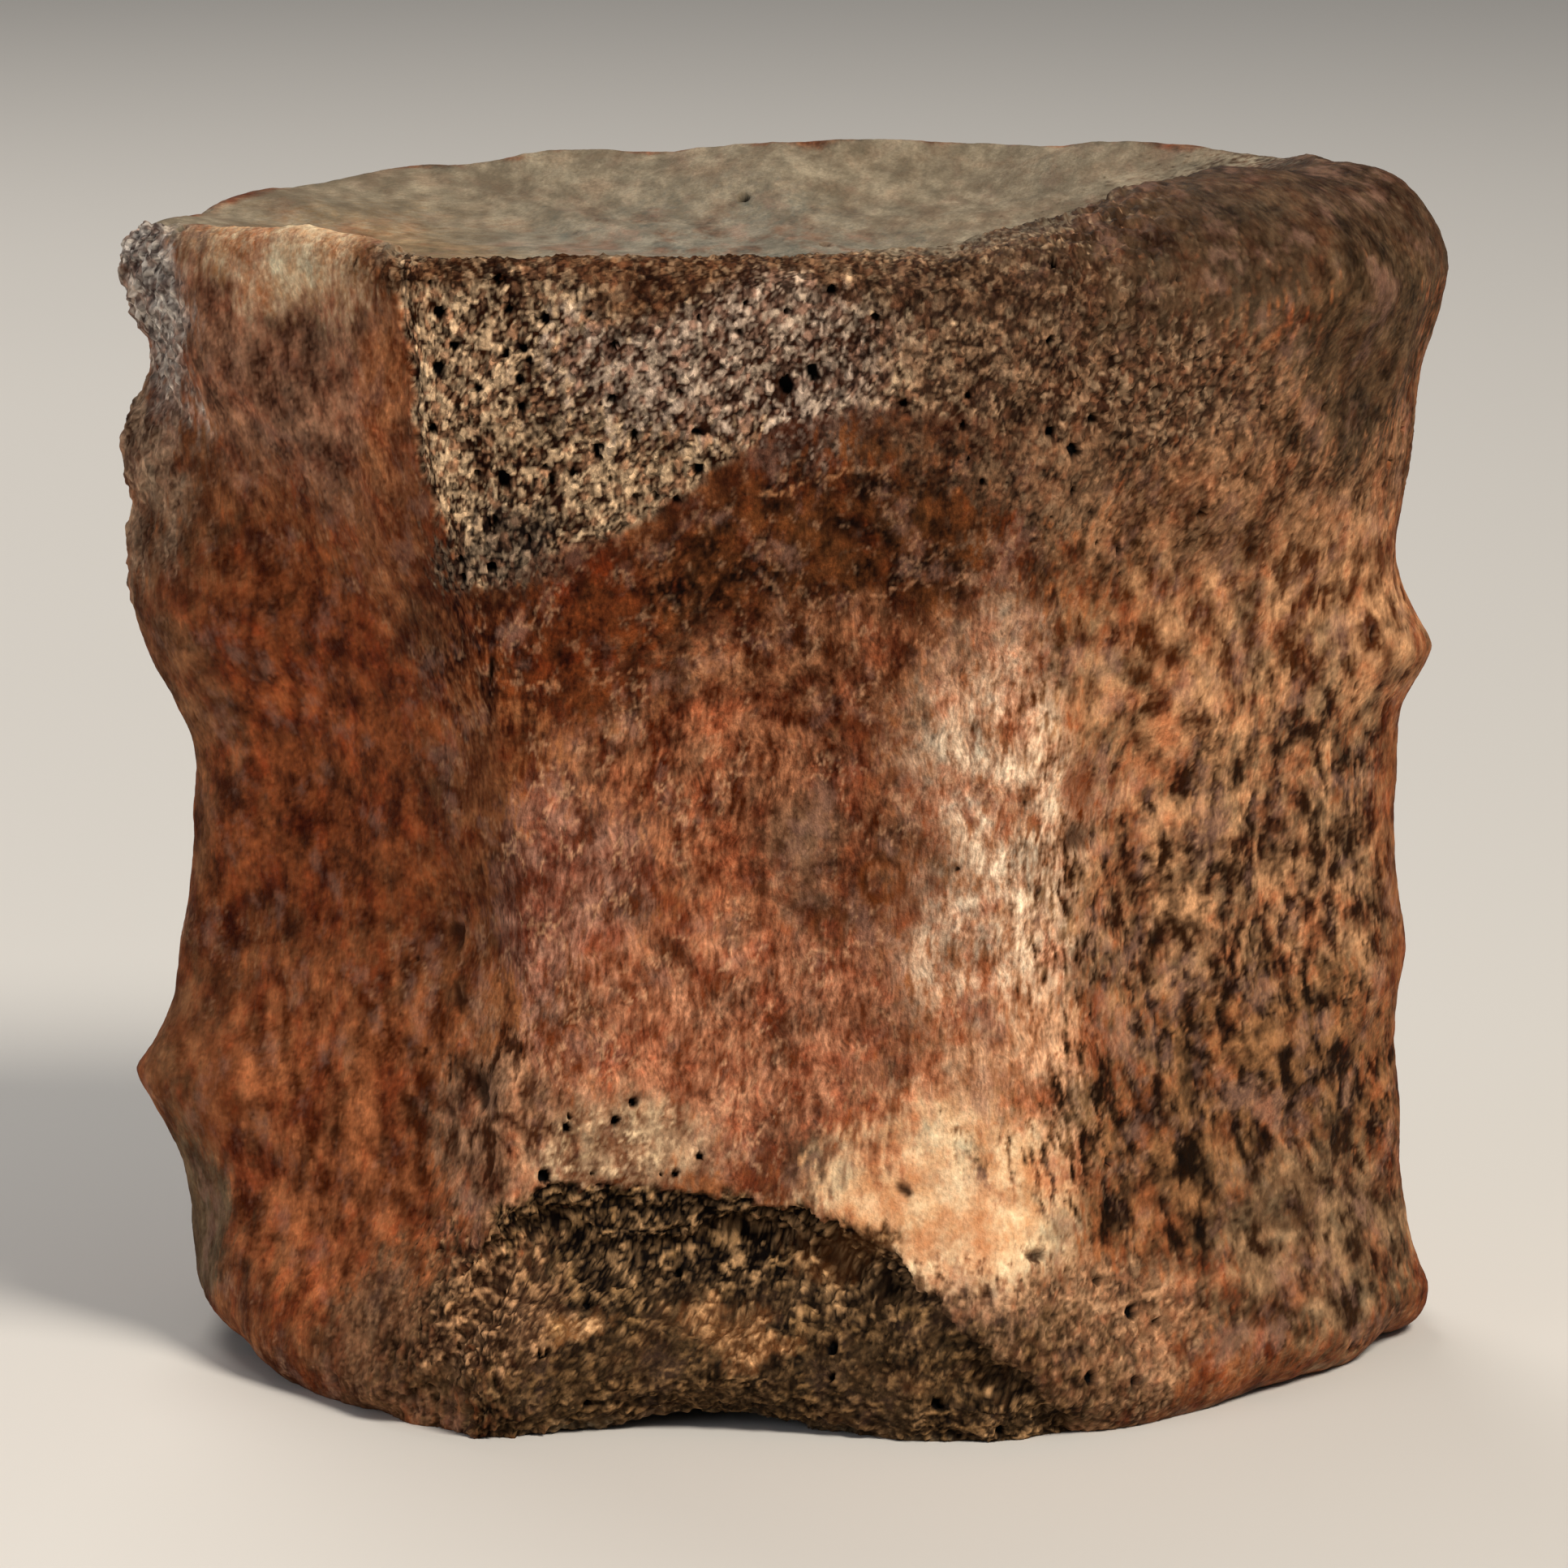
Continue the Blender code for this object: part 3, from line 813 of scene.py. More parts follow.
LINES = (
    Line(
        "ventral_channel", (-4, -2, -4), (23.2, 17.0, 24.0), (2.0, 1.2), (1.8, 2.4),
        0.2, 52.2, (1.1, 1.5), 1.0,
    ),
    Line(
        "right_ventral_ridge", (22, 29, 27), (27.6, 22.6, 27.0), (2.2, 1.2), (2.0, 1.6),
        -1.0, 53.2, (5.0, 3.2), 0.7,
    ),
    Line(
        "right_ventral_face", (57, 59, 58), (26.6, 23.8, 28.2), (3.0, 1.4), (2.4, 1.4),
        -0.1, 53.9, (8.0, 5.0), 1.0,
    ),
    Line(
        "right_lateral_ridge", (88, 88, 88), (29.5, 27.4, 29.6), (7.0, 1.3), (4.0, 1.2),
        -0.2, 53.4, (5.5, 4.6), 0.8,
    ),
    Line(
        "right_dorsal_face", (118, 119, 117), (27.8, 24.6, 28.4), (3.0, 1.2), (3.0, 1.2),
        -0.4, 52.6, (3.2, 3.0), 1.0,
    ),
    Line(
        "right_pedicle", (151, 151, 150), (25.8, 23.2, 26.2), (3.0, 1.2), (3.0, 1.2),
        -1.0, 51.9, (2.2, 2.4), 0.6,
    ),
    Line(
        "neural_canal", (180, 180, 180), (23.2, 20.4, 23.6), (2.4, 1.2), (2.4, 1.2),
        0.2, 51.9, (1.8, 2.0), 1.0,
    ),
    Line(
        "left_pedicle", (209, 209, 210), (25.6, 22.8, 26.0), (3.0, 1.2), (3.0, 1.2),
        -1.0, 51.3, (1.8, 2.0), 0.6,
    ),
    Line(
        "left_dorsal_face", (242, 241, 243), (27.2, 24.2, 27.8), (3.0, 1.2), (3.0, 1.2),
        0.3, 50.7, (1.6, 2.0), 1.0,
    ),
    Line(
        "left_lateral_ridge", (271, 271, 271), (26.4, 26.8, 29.7), (3.0, 1.2), (2.0, 6.0),
        0.7, 50.5, (1.4, 1.8), 0.7,
    ),
    Line(
        "left_ventral_face", (302, 300, 297), (26.2, 22.2, 27.4), (2.6, 1.2), (2.2, 2.2),
        -0.5, 51.8, (1.0, 1.4), 1.0,
    ),
    Line(
        "left_ventral_ridge", (330, 329, 325), (28.0, 22.2, 28.4), (2.2, 1.2), (1.8, 2.8),
        -1.0, 52.1, (0.9, 1.3), 0.25,
    ),
)

FORMS = (
    Form("left_upper_boss", 270, 33.8, 12.0, 3.6, 1.5, 2.0),
    Form("left_rim_knob", 272, 49.0, 3.5, 1.6, 0.35, 1.5, 0.35),
    Form("left_rim_notch", 272, 44.6, 5.0, 2.2, -1.2, 2.0),
    Form("left_boss_notch", 271, 38.0, 4.0, 1.0, -0.4, 2.0),
    Form("left_lower_spur", 270, 12.0, 8.0, 3.4, 2.7, 1.2),
    Form("right_upper_knob", 88, 31.6, 7.0, 2.4, 1.9, 1.4),
    Form("right_waist_swell", 88, 17.5, 8.0, 2.4, 0.5, 2.0),
    Form("neural_canal_groove", 180, 26.0, 4.6, 60.0, -2.6, 2.0),
    Form("right_pedicle_scar", 152, 29.0, 4.6, 13.0, 1.4, 4.0, 0.5),
    Form("left_pedicle_scar", 208, 28.0, 4.6, 13.0, 1.3, 4.0, 0.5),
    Form("right_pedicle_pit", 152, 29.0, 2.6, 9.0, -1.0, 2.0),
    Form("left_pedicle_pit", 208, 27.0, 2.6, 9.0, -1.0, 2.0),
)


def smooth_step(value: np.ndarray) -> np.ndarray:
    """0 below zero, 1 above one, and an even S between."""
    t = np.clip(value, 0.0, 1.0)
    return t * t * (3.0 - 2.0 * t)


def along_edge(points: tuple[Spot, ...], at: np.ndarray) -> np.ndarray:
    """Height of an edge, given by a few points, at each place along it."""
    edge = np.array(points)
    return np.interp(at, edge[:, 0], edge[:, 1])


@dataclass(frozen=True)
class Ledges:
    """Steps of broken spongy bone: waves that lie mostly across the bone, sharpened."""

    seed: int = 6315
    count: int = 14
    longest: float = 8.0
    shortest: float = 5.0
    lean: float = 0.5
    sharpness: float = 1.5

    def at(self, points: np.ndarray) -> np.ndarray:
        """The step at each point, from -1 in a hollow to 1 on a ledge."""
        rng = np.random.RandomState(self.seed)
        total = np.zeros(len(points))
        for index in range(self.count):
            share = index / (self.count - 1)
            length = self.longest * (self.shortest / self.longest) ** share
            way = rng.normal(size=3) * (self.lean, self.lean, 1.0)
            way /= np.linalg.norm(way)
            phase = rng.uniform(0.0, 2.0 * math.pi)
            total += np.sin(points @ way * (2.0 * math.pi / length) + phase)
        return np.tanh(self.sharpness * total / math.sqrt(0.5 * self.count))


@dataclass(frozen=True)
class FacetRecess:
    """The two chevron facets, where the outer bone has flaked away, as recesses of the flank."""

    edge_width: float = 2.0
    upper_depth: float = 0.6
    upper_loss: float = 0.75
    upper_runout: float = 7.0
    upper_ledge: float = 0.25
    upper_right: Spot = (9.0, 18.0)
    upper_left: tuple[Spot, ...] = ((38.0, -14.6), (50.0, -16.6))
    upper_edge: tuple[Spot, ...] = (
        (-17.0, 43.5), (-14.6, 39.0), (-12.8, 36.9), (-10.0, 38.7), (-6.5, 39.8), (-3.7, 42.0),
        (-0.2, 44.3), (2.9, 45.3), (8.2, 45.0), (11.0, 43.2), (18.5, 43.0),
    )
    lower_depth: float = 1.5
    lower_loss: float = 0.6
    lower_runout: float = 9.0
    lower_ledge: float = 0.6
    lower_edge: tuple[Spot, ...] = (
        (-19.5, 0.0), (-15.6, 4.0), (-12.8, 9.2), (-10.1, 11.0), (-4.1, 10.5), (1.2, 9.8),
        (4.8, 8.1), (8.3, 5.0), (10.6, 3.4), (15.5, 0.0),
    )

    def depth(self, points: np.ndarray, ledge: np.ndarray) -> np.ndarray:
        """How deep the facets lie under the outer bone at each point.

        Args:
            points: Points of the flank.
            ledge: The ledges' step at each point.

        Returns:
            The depth at each point, 0 outside the facets.
        """
        x, y, z = points.T
        over = z - along_edge(self.upper_edge, x)
        left = x - along_edge(self.upper_left, z)
        fade_start, fade_end = self.upper_right
        upper = smooth_step(over / self.edge_width) * smooth_step(left / self.edge_width)
        upper = upper * smooth_step((fade_end - x) / (fade_end - fade_start))
        upper_depth = self.upper_depth * (1.0 - self.upper_loss * smooth_step(over / self.upper_runout))
        under = along_edge(self.lower_edge, x) - z
        lower = smooth_step(under / self.edge_width)
        lower_depth = self.lower_depth * (1.0 - self.lower_loss * smooth_step(under / self.lower_runout))
        recess = upper * (upper_depth - self.upper_ledge * ledge)
        recess = recess + lower * (lower_depth - self.lower_ledge * ledge)
        return np.where(y < 0.0, recess, 0.0)


@dataclass
class CentrumShape:
    """The bone's form before its relief: the same lines, dishes, waves and ledges as its solid."""

    ledges: Ledges = field(default_factory=Ledges)
    facets: FacetRecess = field(default_factory=FacetRecess)
    waist_height: float = 24.5
    centring: Point = (0.04, 0.61, 0.0)
    upper_dish: float = 3.6
    lower_dish: float = 4.2
    dish_power: float = 2.6
    rim_power: float = 3.0
    lower_roll_in: float = 2.6
    lower_roll_up: float = 2.4
    roll_share: float = 0.1
    wave_seed: int = 11
    wave_count: int = 30
    wave_longest: float = 17.0
    wave_shortest: float = 5.0
    wave_height: float = 0.07
    wave_fade: float = 0.7

    @staticmethod
    def values(name: str) -> np.ndarray:
        """One field of every line, a row for each line."""
        return np.array([getattr(line, name) for line in LINES], dtype=float)

    @staticmethod
    def through_lines(values: np.ndarray, around: np.ndarray, roundness: np.ndarray = None) -> np.ndarray:
        """A closed curve through one value on each line.

        Args:
            values: A row for each line, with one number or one for each point.
            around: Each point's place, counted in lines from the first.
            roundness: Scales the slope at each line, if given.

        Returns:
            The curve's value at each point.
        """
        count = len(values)
        if values.ndim == 1:
            values = np.repeat(values[:, None], len(around), axis=1)
        slope = 0.5 * (np.roll(values, -1, axis=0) - np.roll(values, 1, axis=0))
        if roundness is not None:
            slope = slope * roundness[:, None]
        first = np.floor(around).astype(int) % count
        second = (first + 1) % count
        column = np.arange(len(around))
        t = around - np.floor(around)
        return (
            (1.0 + 2.0 * t) * (1.0 - t) ** 2 * values[first, column]
            + t * t * (3.0 - 2.0 * t) * values[second, column]
            + t * (1.0 - t) ** 2 * slope[first, column]
            - t * t * (1.0 - t) * slope[second, column]
        )

    @staticmethod
    def swung(share: np.ndarray, shape: np.ndarray) -> np.ndarray:
        """How far each line has swung out from its waist to its rim, from 0 to 1."""
        return 1.0 - (1.0 - share[None, :] ** shape[:, 0:1]) ** shape[:, 1:2]

    def outline(self, around: np.ndarray, height: np.ndarray, low: np.ndarray, high: np.ndarray) -> tuple:
        """Where the flank's outline runs at each point's height.

        Args:
            around: Each point's place, counted in lines.
            height: Each point's height.
            low: Where the flank meets the lower roll there.
            high: Where it meets the upper roll.

        Returns:
            The x and the y of each point.
        """
        foot_turn, turn, crest_turn = np.hsplit(self.values("turn"), 3)
        foot_reach, reach, crest_reach = np.hsplit(self.values("reach"), 3)
        below = np.clip((self.waist_height - height) / (self.waist_height - low), 0.0, 1.0)
        above = np.clip((height - self.waist_height) / (high - self.waist_height), 0.0, 1.0)
        turns = turn + (foot_turn - turn) * below
        turns = np.radians(turns + (crest_turn - turn) * above)
        reaches = reach + (foot_reach - reach) * self.swung(below, self.values("low_swing"))
        reaches = reaches + (crest_reach - reach) * self.swung(above, self.values("high_swing"))
        roundness = self.values("round")
        x = self.through_lines(reaches * np.sin(turns), around, roundness)
        y = self.through_lines(-reaches * np.cos(turns), around, roundness)
        return x, y

    @staticmethod
    def local_forms(turn: np.ndarray, height: np.ndarray, reach: np.ndarray, ledge: np.ndarray) -> np.ndarray:
        """Sum of the named swellings and hollows at each point of the flank, with their ledges."""
        total = np.zeros(len(turn))
        for form in FORMS:
            gap = (turn - form.turn + 180.0) % 360.0 - 180.0
            across = np.radians(gap) * reach / form.across
            along = (height - form.height) / form.along
            share = np.exp(-((across ** 2 + along ** 2) ** (0.5 * form.point)))
            total += (form.out + form.ledge * ledge) * share
        return total

    def waves(self, points: np.ndarray) -> np.ndarray:
        """Low uneven waves in a seeded set of directions."""
        rng = np.random.RandomState(self.wave_seed)
        total = np.zeros(len(points))
        for index in range(self.wave_count):
            share = index / (self.wave_count - 1)
            length = self.wave_longest * (self.wave_shortest / self.wave_longest) ** share
            way = rng.normal(size=3)
            way /= np.linalg.norm(way)
            phase = rng.uniform(0.0, 2.0 * math.pi)
            height = self.wave_height * (length / self.wave_longest) ** self.wave_fade
            total += height * np.sin(points @ way * (2.0 * math.pi / length) + phase)
        return total

    @staticmethod
    def cube_places(corners: np.ndarray) -> tuple:
        """Turn points on a cube of half side 1 into places round the bone, inward and up."""
        a, b, up = corners.T
        inward = np.maximum(np.abs(a), np.abs(b))
        safe = np.where(inward > 0.0, inward, 1.0)
        a = a / safe
        b = b / safe
        edge = 1.0 - 1e-6
        quarters = np.select((b <= -edge, a >= edge, b >= edge), (a, 2.0 + b, 4.0 - a), 6.0 - b)
        return (quarters * len(LINES) / 8.0) % len(LINES), inward, up

    def surface(self, corners: np.ndarray) -> tuple:
        """Points of the bone's surface, and how far in on an end face each lies.

        Args:
            corners: Points on a cube of half side 1.

        Returns:
            The points, and each one's distance in from the rim's crest, negative on the flank.
        """
        around, inward, up = self.cube_places(corners)
        foot = self.through_lines(self.values("foot"), around)
        crest = self.through_lines(self.values("crest"), around)
        lip_in = self.through_lines(self.values("lip")[:, 0], around)
        lip_down = self.through_lines(self.values("lip")[:, 1], around)
        low = foot + self.lower_roll_up
        high = crest - lip_down
        share = (up + 1.0) / 2.0
        climb = np.clip((share - self.roll_share) / (1.0 - 2.0 * self.roll_share), 0.0, 1.0)
        quarter = 0.5 * math.pi
        upper_roll = quarter * np.clip((share - 1.0 + self.roll_share) / self.roll_share, 0.0, 1.0)
        lower_roll = quarter * np.clip((self.roll_share - share) / self.roll_share, 0.0, 1.0)
        height = low + (high - low) * climb

        x, y = self.outline(around, height, low, high)
        reach = np.hypot(x, y)
        out = np.stack([x, y, np.zeros(len(x))], axis=1) / reach[:, None]
        turn = np.degrees(np.arctan2(x, -y))
        ledge = self.ledges.at(np.stack([x, y, height], axis=1))
        reach = reach + self.local_forms(turn, height, reach, ledge)
        reach = reach - lip_in * (1.0 - np.cos(upper_roll))
        reach = reach - self.lower_roll_in * (1.0 - np.cos(lower_roll))
        height = height + lip_down * np.sin(upper_roll) - self.lower_roll_up * np.sin(lower_roll)

        on_top = up > 0.0
        level = np.where(on_top, np.mean(self.values("crest")), np.mean(self.values("foot")))
        sag = np.where(on_top, -self.upper_dish, self.lower_dish)
        to_crest = np.where(on_top, crest - height, height - foot)
        end_gap = np.where(inward < 1.0, (1.0 - inward) * reach, -to_crest)
        height = level + (height - level) * inward ** self.rim_power + sag * (1.0 - inward ** self.dish_power)
        points = out * (reach * inward)[:, None]
        points[:, 2] = height
        facing = out * np.cos(upper_roll + lower_roll)[:, None]
        facing[:, 2] = np.sin(upper_roll) - np.sin(lower_roll)
        points = points + facing * self.waves(points)[:, None]
        recess = self.facets.depth(points, ledge) * np.cos(upper_roll + lower_roll)
        points = points - out * np.where(inward < 1.0, 0.0, recess)[:, None]
        return points + np.array(self.centring), end_gap


@dataclass
class Facet:
    """A chevron facet as a closed outline seen from the front, in x and z."""

    outline: tuple[Spot, ...]
    far_outside: float = -99.0

    def gap(self, points: np.ndarray) -> np.ndarray:
        """Distance from the outline at each point, positive inside it on the bone's underside."""
        corners = np.array(self.outline)
        spot = points[:, (0, 2)]
        nearest = np.full(len(points), np.inf)
        inside = np.zeros(len(points), dtype=bool)
        for start, end in zip(corners, np.roll(corners, -1, axis=0)):
            edge = end - start
            along = np.clip((spot - start) @ edge / (edge @ edge), 0.0, 1.0)
            nearest = np.minimum(nearest, np.linalg.norm(spot - start - along[:, None] * edge, axis=1))
            spans = (spot[:, 1] >= start[1]) != (spot[:, 1] >= end[1])
            rise = edge[1] if edge[1] else 1.0
            left_of = spot[:, 0] < start[0] + (spot[:, 1] - start[1]) * edge[0] / rise
            inside ^= spans & left_of
        return np.where(points[:, 1] < 0.0, np.where(inside, nearest, -nearest), self.far_outside)


@dataclass
class BoneSkin:
    """The fine mesh of the bone: a cube's skin blown onto its shape, with a flat map for each side."""

    shape: CentrumShape = field(default_factory=CentrumShape)
    front_cells: int = 400
    side_cells: int = 270
    rows: int = 450
    batches: int = 12
    strip_width: float = 0.704
    strip_height: float = 0.48
    strip_step: float = 0.496
    margins: Spot = (0.004, 0.006)
    disc_centres: tuple[Spot, ...] = ((0.855, 0.25), (0.855, 0.75))
    disc_scale: float = 0.0047
    upper_facet: Facet = field(default_factory=lambda: Facet((
        (-17.3, 56.0), (-16.8, 50.5), (-15.7, 41.9), (-14.3, 38.2), (-12.9, 36.8), (-10.1, 38.6),
        (-6.6, 39.5), (-3.7, 41.8), (-1.3, 43.5), (-0.2, 44.4), (3.0, 45.3), (8.3, 44.9),
        (10.0, 43.3), (18.9, 43.3), (19.5, 56.0),
    )))
    lower_facet: Facet = field(default_factory=lambda: Facet((
        (-19.5, -3.0), (-17.0, 2.6), (-14.3, 6.2), (-12.9, 9.6), (-10.1, 11.0), (-4.1, 10.5),
        (1.2, 9.7), (4.7, 8.0), (8.3, 4.8), (10.4, 3.3), (15.5, -3.0),
    )))

    @property
    def ring(self) -> int:
        """How many points one ring round the flank has."""
        return 2 * (self.front_cells + self.side_cells)

    def cube_points(self) -> np.ndarray:
        """Points on a cube of half side 1: rings up its sides, then the inner points of its ends."""
        across = np.linspace(-1.0, 1.0, self.front_cells + 1)
        along = np.linspace(-1.0, 1.0, self.side_cells + 1)
        front, side = np.ones(self.front_cells), np.ones(self.side_cells)
        round_a = np.concatenate([across[:-1], side, across[:0:-1], -side])
        round_b = np.concatenate([-front, along[:-1], front, along[:0:-1]])
        levels = np.linspace(-1.0, 1.0, self.rows + 1)
        flank = np.stack([
            np.tile(round_a, self.rows + 1), np.tile(round_b, self.rows + 1), np.repeat(levels, self.ring),
        ], axis=1)
        inner_b, inner_a = np.meshgrid(along[1:-1], across[1:-1], indexing="ij")
        ends = [
            np.stack([inner_a.ravel(), inner_b.ravel(), np.full(inner_a.size, level)], axis=1)
            for level in (-1.0, 1.0)
        ]
        return np.concatenate([flank, *ends])

    def end_numbers(self, top: bool) -> np.ndarray:
        """The point numbers of an end's grid, row by row, with the ring's own points on its border."""
        wide, deep = self.front_cells, self.side_cells
        ring = np.arange(self.ring) + (self.rows * self.ring if top else 0)
        inner = (wide - 1) * (deep - 1)
        start = (self.rows + 1) * self.ring + (inner if top else 0)
        numbers = np.empty((deep + 1, wide + 1), dtype=np.int64)
        numbers[1:-1, 1:-1] = start + np.arange(inner).reshape(deep - 1, wide - 1)
        numbers[0, :] = ring[:wide + 1]
        numbers[:, wide] = ring[wide:wide + deep + 1]
        numbers[deep, ::-1] = ring[wide + deep:2 * wide + deep + 1]
        numbers[::-1, 0] = np.append(ring[2 * wide + deep:], ring[0])
        return numbers

    def faces(self) -> np.ndarray:
        """Four point numbers for each face, the flank's first and then the lower and upper end's."""
        column = np.arange(self.ring)
        beside = (column + 1) % self.ring
        base = (np.arange(self.rows) * self.ring)[:, None]
        above = (base + beside + self.ring, base + column + self.ring)
        flank = np.stack([base + column, base + beside, *above], axis=2)
        lower = self.end_numbers(top=False)
        upper = self.end_numbers(top=True)
        lower = np.stack([lower[:-1, :-1], lower[1:, :-1], lower[1:, 1:], lower[:-1, 1:]], axis=2)
        upper = np.stack([upper[:-1, :-1], upper[:-1, 1:], upper[1:, 1:], upper[1:, :-1]], axis=2)
        return np.concatenate([part.reshape(-1, 4) for part in (flank, lower, upper)])

    def flat_map(self, points: np.ndarray, faces: np.ndarray) -> np.ndarray:
        """Where each face corner lies on the flat map: two strips of flank and two end discs."""
        half = self.ring // 2
        column = (np.tile(np.arange(self.ring), self.rows) + self.side_cells // 2) % self.ring
        row = np.repeat(np.arange(self.rows), self.ring)
        strip = column // half
        u = ((column % half)[:, None] + np.array([0, 1, 1, 0])) / half * self.strip_width
        v = (row[:, None] + np.array([0, 0, 1, 1])) / self.rows * self.strip_height
        left, low = self.margins
        flank = np.stack([u + left, v + low + (strip * self.strip_step)[:, None]], axis=2)
        cap = self.front_cells * self.side_cells
        discs = []
        for index, centre in enumerate(self.disc_centres):
            first = self.rows * self.ring + index * cap
            discs.append(points[faces[first:first + cap]][:, :, :2] * self.disc_scale + np.array(centre))
        return np.concatenate([flank, *discs]).reshape(-1, 2)

    def build(self) -> bpy.types.Object:
        """Make the skin with its map and the gaps that the relief reads.

        Returns:
            The skin, still without relief.
        """
        batches = np.array_split(self.cube_points(), self.batches)
        pieces = [self.shape.surface(batch) for batch in batches]
        points = np.concatenate([piece[0] for piece in pieces])
        end_gap = np.concatenate([piece[1] for piece in pieces])
        faces = self.faces()
        mesh = bpy.data.meshes.new("bone_skin")
        mesh.vertices.add(len(points))
        mesh.loops.add(faces.size)
        mesh.polygons.add(len(faces))
        mesh.vertices.foreach_set("co", (points * MM).astype(np.float32).ravel())
        mesh.loops.foreach_set("vertex_index", faces.astype(np.int32).ravel())
        mesh.polygons.foreach_set("loop_start", np.arange(0, faces.size, 4, dtype=np.int32))
        mesh.update(calc_edges=True)
        mesh.shade_smooth()
        uv = mesh.uv_layers.new(name=UV_NAME)
        uv.uv.foreach_set("vector", self.flat_map(points, faces).astype(np.float32).ravel())
        gaps = {
            Field.END_GAP: end_gap,
            Field.UPPER_GAP: self.upper_facet.gap(points),
            Field.LOWER_GAP: self.lower_facet.gap(points),
        }
        for what, values in gaps.items():
            layer = mesh.attributes.new(what.value, "FLOAT", "POINT")
            layer.data.foreach_set("value", values.astype(np.float32))
        skin = bpy.data.objects.new("fossil_bone", mesh)
        bpy.context.scene.collection.objects.link(skin)
        LOG.info("bone skin: %d points, %d faces", len(points), len(faces))
        return skin


class Mixture(NamedTuple):
    """The zones' colours and textures, mixed at each point."""

    light: Value
    dark: Value
    recipe: Value
    texture: Value
    fibre: Value

    @classmethod
    def of(cls, zone: Zone) -> "Mixture":
        """One zone's own colours and textures."""
        return cls(
            seen(zone.light), seen(zone.dark), (zone.streaks, zone.pits, zone.grain),
            (zone.rubble, zone.crumble, zone.gloss), zone.fibre,
        )

    def with_zone(self, wiring: Wiring, share: Socket, zone: Zone) -> "Mixture":
        """The mixture with a share of one more zone in it."""
        kinds = ("RGBA", "RGBA", "VECTOR", "VECTOR", "FLOAT")
        added = zip(self, Mixture.of(zone), kinds)
        return Mixture(*(wiring.mix(share, mine, its, kind) for mine, its, kind in added))

    def shaded(self, wiring: Wiring, tone: Socket) -> Socket:
        """The mixture's colour at a tone from 0, its dark, to 1, its light."""
        return wiring.tint(tone, self.dark, self.light)


@dataclass
class BonePlace:
    """What is known at each point of the bone while its relief and colour are worked out.

    grown is its place with the flare taken out, so that what is drawn along it follows the
    bone's fibres, and front is 1 on the underside.
    """

    FLARE_HEIGHTS: ClassVar[Spot] = (24.0, 2.0)
    FLARE_ACROSS: ClassVar[Spot] = (-2.0, 8.0)
    FOOT_NARROWING: ClassVar[float] = 0.82
    FRONT_EDGE: ClassVar[Spot] = (0.0, -5.0)

    position: Socket
    place: Socket
    across: Socket
    front: Socket
    grown: Socket
    flecks: dict[str, Socket]
    end_gap: Socket
    upper_gap: Socket
    lower_gap: Socket

    @classmethod
    def read(cls, wiring: Wiring) -> "BonePlace":
        """Read the place and what the skin stores there."""
        position = wiring.node("GeometryNodeInputPosition").outputs[0]
        place = wiring.vector("DIVIDE", position, (MM, MM, MM))
        across, depth, height = wiring.split(place)
        flare = wiring.mix(wiring.remap(height, *cls.FLARE_HEIGHTS), 1.0, cls.FOOT_NARROWING)
        narrow = wiring.mix(wiring.remap(across, *cls.FLARE_ACROSS), 1.0, flare)
        shape = wiring.fill(wiring.node("ShaderNodeCombineXYZ"), (narrow, narrow, 1.0)).outputs[0]
        grown = wiring.vector("MULTIPLY", place, shape)
        gaps = (wiring.stored(what, "FLOAT") for what in (Field.END_GAP, Field.UPPER_GAP, Field.LOWER_GAP))
        front = wiring.remap(depth, *cls.FRONT_EDGE)
        return cls(position, place, across, front, grown, Flecks().place(wiring, Place=grown), *gaps)


@dataclass
class BoneTexture:
    """The textures at each point: how much of each there is, and its pattern there."""

    mixture: Mixture
    streaks: Socket
    grain: Socket
    rubble: Socket
    crumble: Socket
    gloss: Socket
    whole: Socket
    grains: dict[str, Socket]
    chunks: dict[str, Socket]
    rubbles: dict[str, Socket]
    streak: Socket
    deep: Socket
    pit: Socket


